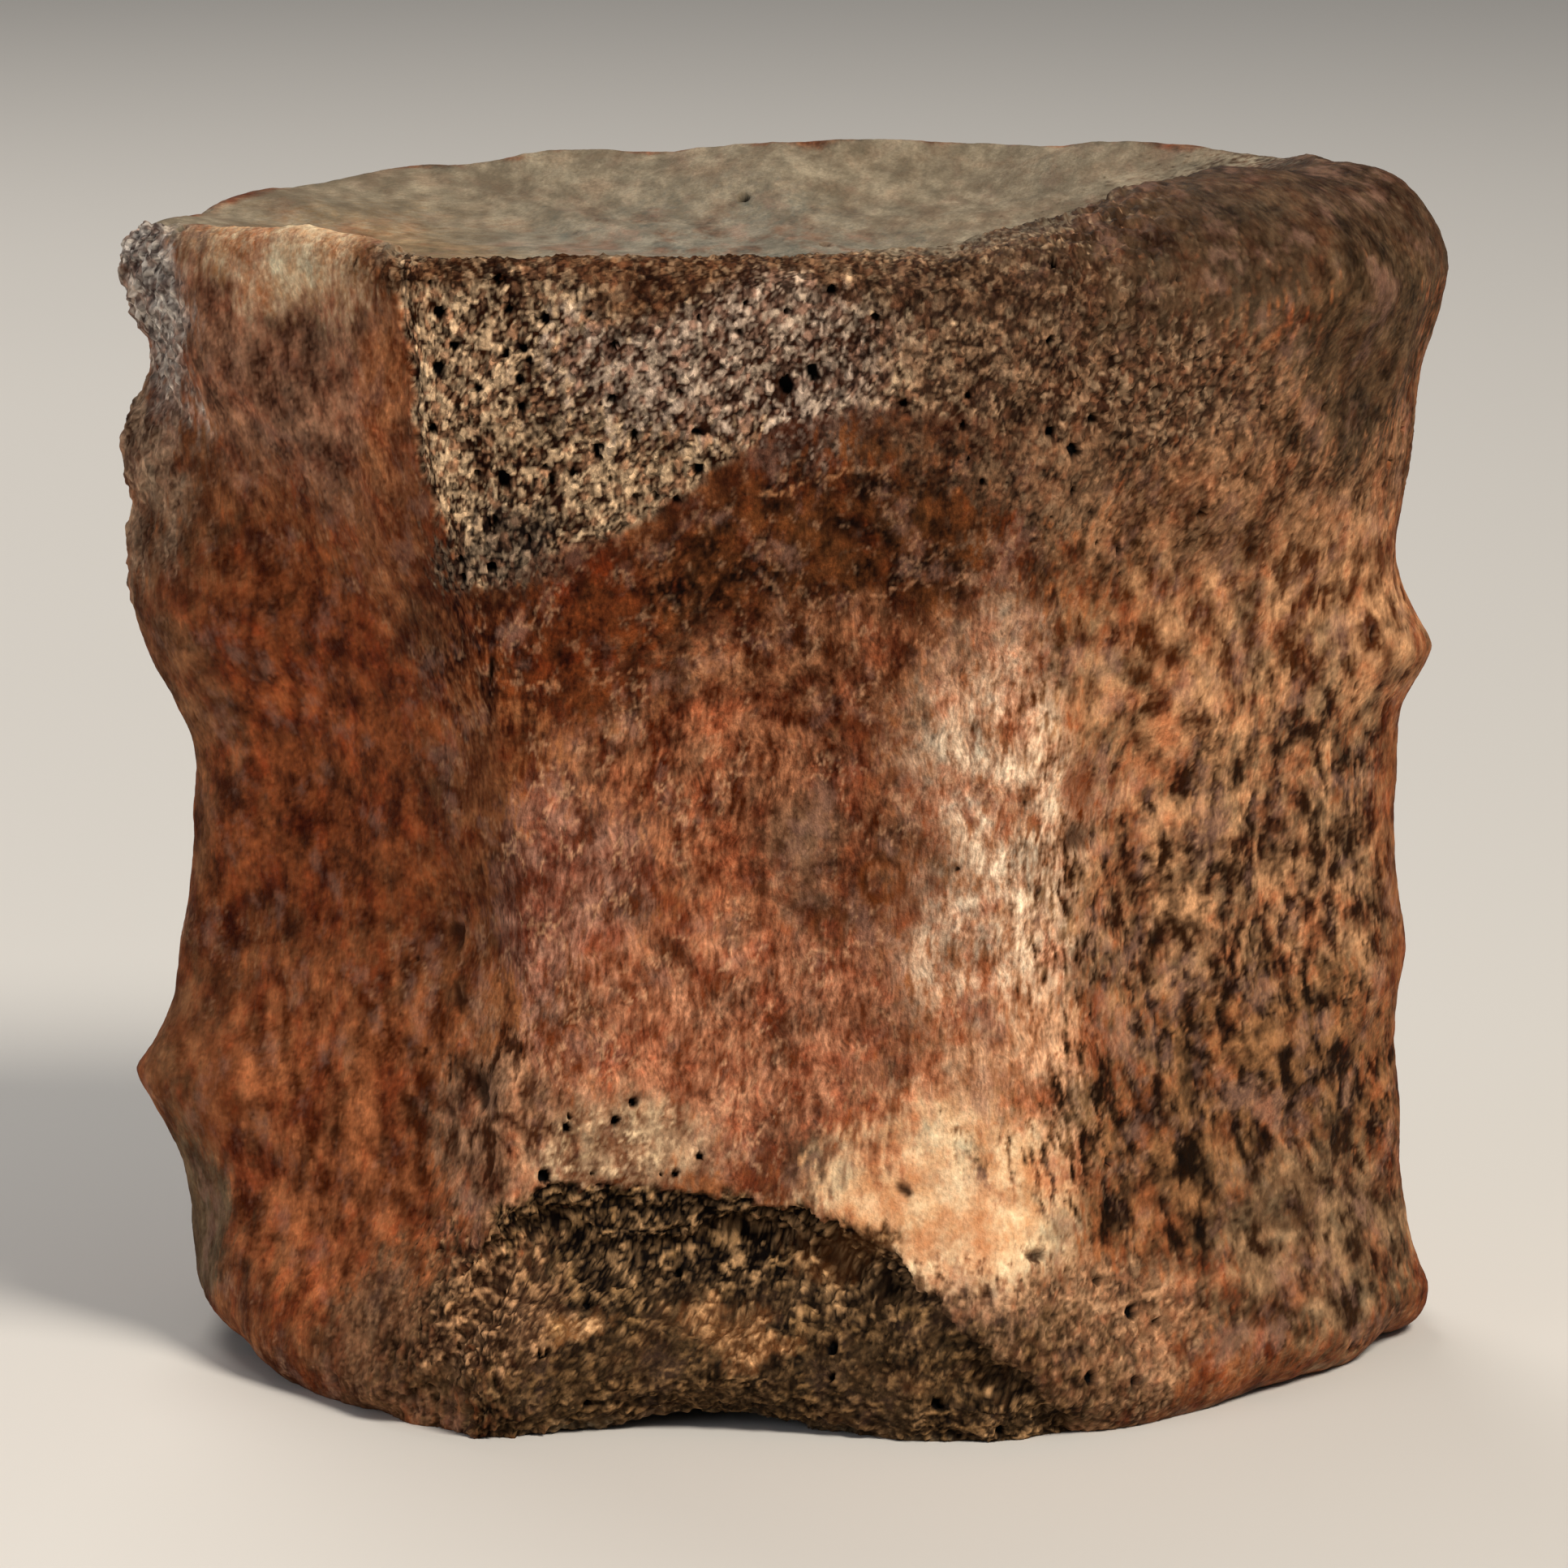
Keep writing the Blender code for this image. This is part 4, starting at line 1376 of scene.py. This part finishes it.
@dataclass
class ZoneMap:
    """Lays the zones over the bone with edges that break up into flecks.

    A warp is a noise's waves a millimetre, its reach and its detail, and a cloud its waves, its
    detail and its roughness. An edge says where something starts and where it is whole.
    """

    warps: tuple[Point, ...] = ((0.13, 6.5, 2.0), (0.5, 2.6, 4.0))
    jitter: float = 1.7
    fine_jitter: float = 0.5
    facet_edge: Spot = (0.0, 0.30)
    facet_cloud: Point = (0.9, 3.5, 0.6)
    upper_ragged: float = 2.2
    lower_ragged: float = 2.6
    speck_cloud: Point = (1.4, 3.0, 0.6)
    speck_reach: float = 22.0
    upper_right_edge: Spot = (17.0, 12.0)
    lower_left_edge: Spot = (-15.5, -12.0)
    flank_edge: Spot = (3.0, 0.5)
    end_cloud: Point = (0.35, 3.0, 0.6)
    end_ragged: float = 3.0
    end_edge: Spot = (-0.7, 0.3)

    def share(self, wiring: Wiring, wandering: Socket, ragged: Socket, zone: Zone) -> Socket:
        """How much of a zone there is at each place."""
        off = wiring.vector("DIVIDE", wiring.vector("SUBTRACT", wandering, zone.centre), zone.radii)
        distance = wiring.math("ADD", wiring.vector("LENGTH", off), ragged)
        return wiring.remap(distance, 1.0 + 0.5 * zone.fade, 1.0 - 0.5 * zone.fade, 0.0, zone.strength)

    def facet_shares(self, wiring: Wiring, bone: BonePlace) -> list[Socket]:
        """How much of each chevron facet there is; to the right the upper one breaks up into specks."""
        ragged = wiring.cloud(bone.place, *self.facet_cloud)
        across = wiring.blend_in(wiring.cloud(bone.place, *self.speck_cloud), self.speck_reach, bone.across)
        flank = wiring.remap(bone.end_gap, *self.flank_edge)
        shares = []
        for gap, reach, side_edge in (
            (bone.upper_gap, self.upper_ragged, self.upper_right_edge),
            (bone.lower_gap, self.lower_ragged, self.lower_left_edge),
        ):
            inside = wiring.remap(wiring.blend_in(ragged, reach, gap), *self.facet_edge)
            shares.append(wiring.times(inside, wiring.remap(across, *side_edge), flank))
        return shares

    def wire(self, wiring: Wiring, bone: BonePlace) -> tuple[Mixture, Socket, Socket]:
        """Mix all zones.

        Args:
            wiring: The relief's wiring.
            bone: What is known at each point.

        Returns:
            The mixture, and the shares of the upper and the lower facet.
        """
        wandering = bone.place
        for warp in self.warps:
            wandering = wiring.warped(wandering, *warp)
        ragged = wiring.times(wiring.centred(bone.flecks["Dash"]), self.jitter)
        ragged = wiring.blend_in(wiring.centred(bone.flecks["Fine"]), self.fine_jitter, ragged)
        upper, lower = self.facet_shares(wiring, bone)
        uneven = wiring.cloud(bone.place, *self.end_cloud)
        end = wiring.remap(wiring.blend_in(uneven, self.end_ragged, bone.end_gap), *self.end_edge)
        layers = [(self.share(wiring, wandering, ragged, zone), zone) for zone in ZONES]
        layers += [(upper, UPPER_FACET), (lower, LOWER_FACET), (end, END_FACES)]
        layers += [(self.share(wiring, wandering, ragged, zone), zone) for zone in OVERLAYS]
        mixture = Mixture.of(CORTEX)
        for share, zone in layers:
            mixture = mixture.with_zone(wiring, share, zone)
        return mixture, upper, lower


class Film(NamedTuple):
    """A thin tint: its colour, the levels of its cloud, how strong it gets, and how it blends."""

    colour: Colour
    levels: Spot
    strength: float
    blend: str = "MIX"

    def over(self, wiring: Wiring, base: Value, cloud: Value, *weights: Value) -> Socket:
        """A colour under the film, which is as strong as its cloud and the weights say."""
        share = wiring.times(wiring.remap(cloud, *self.levels, 0.0, self.strength), *weights)
        return wiring.tint(share, base, seen(self.colour), self.blend)


@dataclass
class BoneRelief:
    """Turns the zones into real relief in the skin, and stores its colour, with painted shade in its
    hollows, pores and gaps and along the upper facet's edge.

    Sizes, heights and depths are in millimetres. Warps, clouds and edges are as in the zone map,
    and levels, like edges, say where something starts and where it is whole. What ends in tone
    is a weight of a pattern in how light the bone is.
    """

    zone_map: ZoneMap = field(default_factory=ZoneMap)
    grain_size: float = 0.30
    chunk_size: float = 0.7
    rubble_size: float = 0.9
    streak_edge: Spot = (0.0, 0.12)
    lump_height: float = 0.50
    lump_cloud: Point = (0.30, 4.0, 0.55)
    rugged_cloud: Point = (0.6, 4.0, 0.6)
    upper_rugged: float = 0.3
    lower_rugged: float = 0.6
    fibrous_edge: Spot = (0.5, -0.5)
    dash_height: float = 0.05
    fine_height: float = 0.03
    dome_height: float = 0.16
    streak_depth: float = 0.04
    deep_depth: float = 0.10
    pit_depth: float = 0.50
    shelf_height: float = 0.28
    shelf_level: float = 0.8
    crumble_height: float = 0.35
    crumble_level: float = 0.6
    upper_step: float = 0.28
    lower_step: float = 0.26
    mark_warp: Point = (1.1, 0.8, 3.0)
    mark_edge: Spot = (1.3, 0.4)
    ring_edge: Spot = (0.42, 0.05)
    seam_warp: Point = (0.8, 1.9, 4.0)
    seam_break: Spot = (0.44, 0.56)
    seam_edge: Spot = (1.8, 0.4)
    middle_tone: float = 0.48
    mottle_tones: Point = (2.2, 1.2, -0.6)
    dash_tone: float = 1.9
    broad_tone: float = 1.3
    speck_tone: float = 1.0
    streak_tone: float = -0.5
    tone_power: float = 1.5
    tint_stretch: Point = (0.5, 0.34, 0.4)
    tint_detail: float = 6.0
    tint_roughness: float = 0.72
    varied_fibre: Spot = (0.0, 0.1)
    least_varied: float = 0.3
    rust: Film = Film((222, 132, 70), (0.46, 0.64), 0.55, "MULTIPLY")
    cold: Film = Film((150, 176, 190), (0.48, 0.64), 0.6, "MULTIPLY")
    pale: Film = Film((166, 124, 104), (0.52, 0.66), 0.35)
    hair: Film = Film((206, 156, 116), (0.44, 0.56), 0.5)
    # grain_tones: the last weight darkens the gaps between grains, painted shade
    grain_tones: tuple[float, ...] = (0.02, 0.85, 2.0, 0.8, -0.40)
    umber: Film = Film((150, 84, 40), (0.36, 0.26), 0.6, "MULTIPLY")
    ash: Film = Film((150, 134, 108), (0.66, 0.76), 0.35)
    # shelf_tones: the tone is low in the rubble's hollows and rises on its shelves, painted shade in the
    # hollows
    shelf_tones: tuple[float, ...] = (0.1, 0.95, 0.04, 1.1)
    olive: Film = Film((220, 210, 160), (0.48, 0.60), 0.30, "MULTIPLY")
    # edge_shade and its inner, middle and edge values: a painted shadow line along the upper facet's edge
    edge_shade: Film = Film((60, 24, 8), (-1.6, -0.3), 0.5)
    fringe_inner: Spot = (0.4, 0.0)
    fringe_middle: float = -2.5
    fringe_edge: Spot = (14.0, 8.0)
    # hollow: near-black painted shade for the deep streak pits and the low places of the fine relief
    hollow: Film = Film((8, 4, 2), (-0.16, -0.55), 0.8)
    # pore_painted_shade: the near-black inside the pores is painted shade
    pore_painted_shade: Colour = (3, 2, 2)
    dull: float = 0.80
    gloss_roughness: float = -0.34
    dash_roughness: float = -0.5
    rubble_grain: float = 0.6

    def textures(self, wiring: Wiring, bone: BonePlace, mixture: Mixture) -> BoneTexture:
        """Place every pattern at the strengths that the zones ask for."""
        streaks, pits, grain = wiring.split(mixture.recipe)
        rubble, crumble, gloss = wiring.split(mixture.texture)
        whole = wiring.math("SUBTRACT", 1.0, wiring.math("MAXIMUM", grain, rubble), clamp=True)
        place = bone.place
        drawn = Streaks().place(wiring, Place=bone.grown, Amount=streaks)
        there = wiring.remap(streaks, *self.streak_edge)
        return BoneTexture(
            mixture, streaks, grain, rubble, crumble, gloss, whole,
            Grains().place(wiring, Place=place, Size=self.grain_size),
            Grains().place(wiring, Place=place, Size=self.chunk_size),
            Rubble().place(wiring, Place=place, Size=self.rubble_size),
            wiring.times(drawn["Hole"], there),
            wiring.times(drawn["Deep"], there),
            Pores().place(wiring, Place=place, Amount=pits)["Hole"],
        )

    def fine_relief(self, wiring: Wiring, texture: BoneTexture) -> Socket:
        """Height of grains, shelves and broken edges above streaks, pores and hollows."""
        domes = wiring.times(texture.grains["Dome"], texture.grain, self.dome_height)
        shelves = wiring.times(wiring.centred(texture.rubbles["Shelf"], self.shelf_level), texture.rubble)
        broken = wiring.times(wiring.centred(texture.chunks["Dome"], self.crumble_level), texture.crumble)
        return wiring.sum_up(
            domes, (texture.streak, -self.streak_depth), (texture.deep, -self.deep_depth),
            (texture.pit, -self.pit_depth), (shelves, self.shelf_height), (broken, self.crumble_height),
        )

    def marks(self, wiring: Wiring, bone: BonePlace) -> list[tuple[Socket, Mark]]:
        """How much of each named hollow there is at each place."""
        uneven = wiring.warped(bone.place, *self.mark_warp)
        found = []
        for mark in MARKS:
            centre = (mark.centre[0], 0.0, mark.centre[1])
            radii = (mark.radii[0], 1.0e6, mark.radii[1])
            off = wiring.vector("DIVIDE", wiring.vector("SUBTRACT", uneven, centre), radii)
            distance = wiring.vector("LENGTH", off)
            if mark.ring:
                distance = wiring.math("ABSOLUTE", wiring.centred(distance, 1.0))
            share = wiring.remap(distance, *(self.ring_edge if mark.ring else self.mark_edge))
            found.append((wiring.times(share, bone.front), mark))
        return found

    def seams(self, wiring: Wiring, bone: BonePlace) -> list[tuple[Socket, Seam]]:
        """How much of each named crack there is at each place."""
        wavy = wiring.vector("MULTIPLY", wiring.warped(bone.place, *self.seam_warp), (1.0, 0.0, 1.0))
        broken = wiring.remap(bone.flecks["Dash"], *self.seam_break)
        found = []
        for seam in SEAMS:
            start = Vector((seam.start[0], 0.0, seam.start[1]))
            way = Vector((seam.end[0], 0.0, seam.end[1])) - start
            off = wiring.vector("SUBTRACT", wavy, tuple(start))
            along = wiring.vector("DOT_PRODUCT", off, tuple(way))
            along = wiring.math("DIVIDE", along, way.length_squared, clamp=True)
            away = wiring.vector("SUBTRACT", off, wiring.scaled(tuple(way), along))
            edge = (self.seam_edge[0] * seam.width, self.seam_edge[1] * seam.width)
            line = wiring.remap(wiring.vector("LENGTH", away), *edge)
            found.append((wiring.times(line, broken, bone.front), seam))
        return found

    def height(
        self, wiring: Wiring, bone: BonePlace, texture: BoneTexture, fine: Socket, facets: list,
    ) -> Socket:
        """How far each point stands out from the plain form, before its marks, in millimetres.

        Args:
            wiring: The relief's wiring.
            bone: What is known at each point.
            texture: The textures there.
            fine: Their height.
            facets: The shares of the upper and the lower facet.

        Returns:
            The height.
        """
        upper, lower = facets
        fibrous = wiring.times(texture.whole, wiring.remap(bone.end_gap, *self.fibrous_edge))
        dashes = wiring.times(wiring.centred(bone.flecks["Dash"]), fibrous)
        lines = wiring.times(wiring.centred(bone.flecks["Fine"]), fibrous)
        lumps = wiring.cloud(bone.place, *self.lump_cloud)
        rugged = wiring.cloud(bone.place, *self.rugged_cloud)
        facet_rugged = wiring.blend_in(lower, self.lower_rugged, wiring.times(upper, self.upper_rugged))
        return wiring.sum_up(
            fine, (dashes, self.dash_height), (lines, self.fine_height), (lumps, self.lump_height),
            (rugged, facet_rugged), (upper, -self.upper_step), (lower, -self.lower_step),
        )

    def outer_colour(self, wiring: Wiring, bone: BonePlace, texture: BoneTexture) -> tuple[Socket, Socket]:
        """The colour of whole outer bone, and the cloud of its cold film."""
        names = ("Dash", "Mottle", "Broad", "Fine")
        dash, mottle, broad, speck = (wiring.centred(bone.flecks[name]) for name in names)
        fibre = texture.mixture.fibre
        plain, streaked, fibrous = self.mottle_tones
        swing = wiring.sum_up(plain, (texture.streaks, streaked), (fibre, fibrous))
        tone = wiring.sum_up(
            self.middle_tone, (mottle, swing), (dash, wiring.times(fibre, self.dash_tone)),
            (broad, self.broad_tone), (speck, self.speck_tone), (texture.streak, self.streak_tone), clamp=True,
        )
        outer = texture.mixture.shaded(wiring, wiring.math("POWER", tone, self.tone_power))
        tints = wiring.drawn(bone.grown, self.tint_stretch, self.tint_detail, self.tint_roughness)
        warm, cool, pale = wiring.split(tints.outputs["Color"])
        varied = wiring.remap(fibre, *self.varied_fibre, self.least_varied, 1.0)
        for film, cloud in ((self.rust, warm), (self.cold, cool), (self.pale, pale)):
            outer = film.over(wiring, outer, cloud, varied)
        return self.hair.over(wiring, outer, pale, bone.flecks["Hair"], fibre), cool

    def grain_colour(self, wiring: Wiring, bone: BonePlace, texture: BoneTexture) -> Socket:
        """The colour of granular bone: each grain has its own tone, some are umber or ash, and painted shade
        darkens the gaps between them.
        """
        start, own, fine, broad, gap = self.grain_tones
        grains = texture.grains
        tone = wiring.sum_up(
            start, (grains["Tone"], own), (wiring.centred(bone.flecks["Fine"]), fine),
            (wiring.centred(bone.flecks["Broad"]), broad), (grains["Gap"], gap), clamp=True,
        )
        colour = self.umber.over(wiring, texture.mixture.shaded(wiring, tone), grains["Hue"])
        return self.ash.over(wiring, colour, grains["Hue"], tone)

    def shelf_colour(self, wiring: Wiring, bone: BonePlace, texture: BoneTexture, cool: Socket) -> Socket:
        """The colour of broken spongy bone, with painted shade darkening its hollows, and olive in the cool
        clouds.
        """
        low, rise, hollow, fine = self.shelf_tones
        # Painted shade: the tone falls where the shelves sink into hollows.
        lit = wiring.blend_in(texture.rubbles["Shelf"], rise, low)
        tone = wiring.centred(wiring.times(texture.rubbles["Tone"], lit), hollow)
        tone = wiring.blend_in(wiring.centred(bone.flecks["Fine"]), fine, tone, clamp=True)
        return self.olive.over(wiring, texture.mixture.shaded(wiring, tone), cool)

    @staticmethod
    def marked(wiring: Wiring, base: Socket, found: list) -> Socket:
        """A colour with named marks or cracks on it."""
        for share, mark in found:
            base = wiring.tint(wiring.times(share, mark.strength), base, seen(mark.colour))
        return base

    def colour(
        self, wiring: Wiring, bone: BonePlace, texture: BoneTexture, fine: Socket, marks: list,
    ) -> Socket:
        """The colour of each point, from the zones' colours and the patterns, with painted shade in hollows,
        deep pits, pores and along the upper facet's edge.

        Args:
            wiring: The relief's wiring.
            bone: What is known at each point.
            texture: The textures there.
            fine: The textures' height.
            marks: How much of each named hollow there is.

        Returns:
            The colour.
        """
        outer, cool = self.outer_colour(wiring, bone, texture)
        base = wiring.tint(texture.grain, outer, self.grain_colour(wiring, bone, texture))
        base = wiring.tint(texture.rubble, base, self.shelf_colour(wiring, bone, texture, cool))
        # Painted shadow: a dark line along the upper facet's edge.
        inner = wiring.remap(bone.upper_gap, *self.fringe_inner)
        off = wiring.math("ABSOLUTE", wiring.centred(bone.across, self.fringe_middle))
        base = self.edge_shade.over(wiring, base, bone.upper_gap, inner, wiring.remap(off, *self.fringe_edge))
        base = self.marked(wiring, base, self.seams(wiring, bone))
        # Painted shade: the deepest streak pits, then the low places of the fine relief, darken towards
        # near-black.
        pits = wiring.times(texture.deep, self.hollow.strength)
        base = wiring.tint(pits, base, seen(self.hollow.colour))
        base = self.hollow.over(wiring, base, fine)
        base = self.marked(wiring, base, marks)
        # Pores are filled with near-black painted shade.
        return wiring.tint(texture.pit, base, seen(self.pore_painted_shade))

    def build_tree(self) -> bpy.types.NodeTree:
        """Wire the relief's node tree."""
        tree = bpy.data.node_groups.new("bone_relief", TreeKind.RELIEF.value)
        tree.interface.new_socket(name="Geometry", in_out="INPUT", socket_type="NodeSocketGeometry")
        tree.interface.new_socket(name="Geometry", in_out="OUTPUT", socket_type="NodeSocketGeometry")
        wiring = Wiring(tree, TreeKind.RELIEF)
        bone = BonePlace.read(wiring)
        mixture, *facets = self.zone_map.wire(wiring, bone)
        texture = self.textures(wiring, bone, mixture)
        fine = self.fine_relief(wiring, texture)
        marks = self.marks(wiring, bone)
        colour = self.colour(wiring, bone, texture, fine, marks)
        height = self.height(wiring, bone, texture, fine, facets)
        height = wiring.sum_up(height, *((share, -mark.depth) for share, mark in marks))
        dash = wiring.centred(bone.flecks["Dash"])
        rough = wiring.sum_up(
            self.dull, (texture.gloss, self.gloss_roughness), (dash, self.dash_roughness), clamp=True,
        )

        grainy = wiring.math("MAXIMUM", texture.grain, wiring.times(texture.rubble, self.rubble_grain))
        made = wiring.node("ShaderNodeCombineXYZ")
        fineness = wiring.fill(made, (wiring.times(texture.whole, mixture.fibre), grainy)).outputs[0]
        normal = wiring.node("GeometryNodeInputNormal").outputs["Normal"]
        moved = wiring.vector("ADD", bone.position, wiring.scaled(normal, wiring.times(height, MM)))
        moved = wiring.vector("MAXIMUM", moved, (-1.0, -1.0, 0.0))
        geometry = wiring.node("NodeGroupInput").outputs["Geometry"]
        kept = (
            (Field.REST, bone.grown, "FLOAT_VECTOR"), (Field.COLOUR, colour, "FLOAT_COLOR"),
            (Field.ROUGHNESS, rough, "FLOAT"), (Field.FINENESS, fineness, "FLOAT_VECTOR"),
        )
        for what, value, kind in kept:
            store = wiring.node("GeometryNodeStoreNamedAttribute", data_type=kind, domain="POINT")
            wiring.plug(store.inputs["Geometry"], geometry)
            store.inputs["Name"].default_value = what.value
            wiring.plug(store.inputs["Value"], value)
            geometry = store.outputs["Geometry"]
        setter = wiring.node("GeometryNodeSetPosition")
        wiring.plug(setter.inputs["Geometry"], geometry)
        wiring.plug(setter.inputs["Position"], moved)
        wiring.plug(wiring.node("NodeGroupOutput").inputs["Geometry"], setter.outputs["Geometry"])
        return tree

    def apply(self, skin: bpy.types.Object) -> None:
        """Run the relief on the skin and keep the mesh that comes out."""
        modifier = skin.modifiers.new("relief", "NODES")
        modifier.node_group = self.build_tree()
        graph = bpy.context.evaluated_depsgraph_get()
        result = bpy.data.meshes.new_from_object(
            skin.evaluated_get(graph), preserve_all_data_layers=True, depsgraph=graph,
        )
        plain = skin.data
        skin.modifiers.clear()
        skin.data = result
        result.name = "fossil_bone"
        bpy.data.meshes.remove(plain)
        for what in (Field.END_GAP, Field.UPPER_GAP, Field.LOWER_GAP):
            result.attributes.remove(result.attributes[what.value])
        LOG.info("bone relief: %s", [attribute.name for attribute in result.attributes])


@dataclass(frozen=True)
class FossilFinish:
    """The fossil bone's material: the colour that the relief stored, under its finest detail."""

    speck_contrast: float = 0.9
    fibre_contrast: float = 2.4
    cell_contrast: float = 1.0
    least_bright: float = 0.1
    speck_roughness: float = 0.4
    bump_height: float = 0.10
    bump_strength: float = 0.8
    specular: float = 0.06

    def build(self) -> bpy.types.Material:
        """Wire the material."""
        material = bpy.data.materials.new("fossil_bone")
        material.use_nodes = True
        tree = material.node_tree
        shader = tree.nodes["Principled BSDF"]
        wiring = Wiring(tree, TreeKind.SHADING)
        fine = Speckle().place(wiring, Place=wiring.stored(Field.REST))
        fibrous, grainy, _ = wiring.split(wiring.stored(Field.FINENESS))
        fleck = wiring.centred(fine["Speck"])
        fibres = wiring.times(wiring.centred(fine["Fibre"]), fibrous)
        cells = wiring.times(wiring.centred(fine["Cell"]), grainy)
        brighter = wiring.sum_up(
            1.0, (fleck, self.speck_contrast), (fibres, self.fibre_contrast), (cells, self.cell_contrast),
        )
        brighter = wiring.math("MAXIMUM", brighter, self.least_bright)
        colour = wiring.scaled(wiring.stored(Field.COLOUR, "FLOAT_COLOR"), brighter)
        wiring.plug(shader.inputs["Base Color"], colour)
        rough = wiring.stored(Field.ROUGHNESS, "FLOAT")
        rough = wiring.blend_in(fleck, self.speck_roughness, rough, clamp=True)
        wiring.plug(shader.inputs["Roughness"], rough)
        shader.inputs["Specular IOR Level"].default_value = self.specular
        bump = wiring.node("ShaderNodeBump")
        bump.inputs["Strength"].default_value = self.bump_strength
        bump.inputs["Distance"].default_value = MM
        wiring.plug(bump.inputs["Height"], wiring.times(fleck, self.bump_height))
        wiring.plug(shader.inputs["Normal"], bump.outputs["Normal"])
        return material


@dataclass
class Bone:
    """The fossil vertebra: skin, relief and finish together."""

    skin: BoneSkin = field(default_factory=BoneSkin)
    relief: BoneRelief = field(default_factory=BoneRelief)
    finish: FossilFinish = field(default_factory=FossilFinish)

    def build(self) -> bpy.types.Object:
        """Make the bone and set it in the frame, in place of its solid."""
        bone = self.skin.build()
        self.relief.apply(bone)
        bone.data.materials.clear()
        bone.data.materials.append(self.finish.build())
        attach(bone, ROOT_BODY)
        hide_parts(BONE_NODE)
        return bone


@dataclass(frozen=True)
class SoftLight:
    """One soft box: where it stands, how wide it is, its power in watts and its tint."""

    name: str
    place: Point
    width: float
    power: float
    tint: Colour


@dataclass
class Studio:
    """A plain pale floor under plain soft light."""

    target: Point = (0.0, 0.0, 27.0)
    floor_half: float = 3000.0
    floor_colour: Colour = (214, 210, 203)
    floor_waves: float = 3.0
    floor_detail: float = 3.0
    floor_levels: Spot = (0.3, 0.7)
    floor_roughness: Spot = (0.62, 0.74)
    sky_colour: Colour = (226, 228, 232)
    sky_strength: float = 0.22
    lights: tuple[SoftLight, ...] = (
        SoftLight("key_light", (250.0, -320.0, 400.0), 180.0, 3.4, (255, 247, 236)),
        SoftLight("fill_light", (-420.0, -360.0, 160.0), 340.0, 0.6, (236, 242, 255)),
        SoftLight("back_light", (-160.0, 420.0, 420.0), 300.0, 1.4, (255, 250, 244)),
    )

    def build_floor(self) -> bpy.types.Object:
        """Make the floor, level with the surface that the bone stands on."""
        half = self.floor_half * MM
        corners = [(-half, -half, 0.0), (half, -half, 0.0), (half, half, 0.0), (-half, half, 0.0)]
        mesh = bpy.data.meshes.new("floor")
        mesh.from_pydata(corners, [], [(0, 1, 2, 3)])
        material = bpy.data.materials.new("pale_floor")
        material.use_nodes = True
        wiring = Wiring(material.node_tree, TreeKind.SHADING)
        shader = material.node_tree.nodes["Principled BSDF"]
        place = wiring.node("ShaderNodeTexCoord").outputs["Object"]
        cloud = wiring.noise(place, self.floor_waves, self.floor_detail).outputs["Fac"]
        rough = wiring.remap(cloud, *self.floor_levels, *self.floor_roughness)
        wiring.plug(shader.inputs["Roughness"], rough)
        shader.inputs["Base Color"].default_value = seen(self.floor_colour)
        mesh.materials.append(material)
        floor = bpy.data.objects.new("floor", mesh)
        bpy.context.scene.collection.objects.link(floor)
        return floor

    def build_lights(self) -> None:
        """Hang the soft boxes round the bone and light the room."""
        for light in self.lights:
            lamp = bpy.data.lights.new(light.name, "AREA")
            lamp.shape = "DISK"
            lamp.size = light.width * MM
            lamp.energy = light.power
            lamp.color = seen(light.tint)[:3]
            holder = bpy.data.objects.new(light.name, lamp)
            holder.location = Vector(light.place) * MM
            aim = (Vector(self.target) - Vector(light.place)).to_track_quat("-Z", "Y")
            holder.rotation_euler = aim.to_euler()
            bpy.context.scene.collection.objects.link(holder)
        world = bpy.data.worlds.new("pale_room")
        world.use_nodes = True
        background = world.node_tree.nodes["Background"]
        background.inputs["Color"].default_value = seen(self.sky_colour)
        background.inputs["Strength"].default_value = self.sky_strength
        bpy.context.scene.world = world

    def build(self) -> None:
        """Set up floor, light and how light turns into the picture's tones."""
        self.build_floor()
        self.build_lights()
        view = bpy.context.scene.view_settings
        view.view_transform = "Standard"
        view.look = "None"
        view.exposure = 0.0
        view.gamma = 1.0


@dataclass(frozen=True)
class PhotoCamera:
    """The camera of the photo: close, level with the upper rim and looking slightly down."""

    distance: float = 518.0
    above: float = 9.4
    aim_height: float = 25.2
    focal_pixels: float = 14100.0
    frame_pixels: float = 1932.0
    sensor: float = 36.0
    nearest: float = 10.0

    def build(self) -> bpy.types.Object:
        """Make the camera and give it to the scene."""
        data = bpy.data.cameras.new("photo_camera")
        data.sensor_width = self.sensor
        data.lens = self.sensor * self.focal_pixels / self.frame_pixels
        data.clip_start = self.nearest * MM
        camera = bpy.data.objects.new("photo_camera", data)
        slope = math.radians(self.above)
        rise = self.aim_height + self.distance * math.sin(slope)
        camera.location = Vector((0.0, -self.distance * math.cos(slope), rise)) * MM
        camera.rotation_euler = (math.radians(90.0) - slope, 0.0, 0.0)
        bpy.context.scene.collection.objects.link(camera)
        bpy.context.scene.camera = camera
        return camera


def main() -> None:
    """Load the frame, and build the camera, the studio and the bone."""
    logging.basicConfig(level=logging.INFO, format="%(name)s: %(message)s")
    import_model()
    PhotoCamera().build()
    Studio().build()
    Bone().build()


if __name__ == "__main__":
    main()
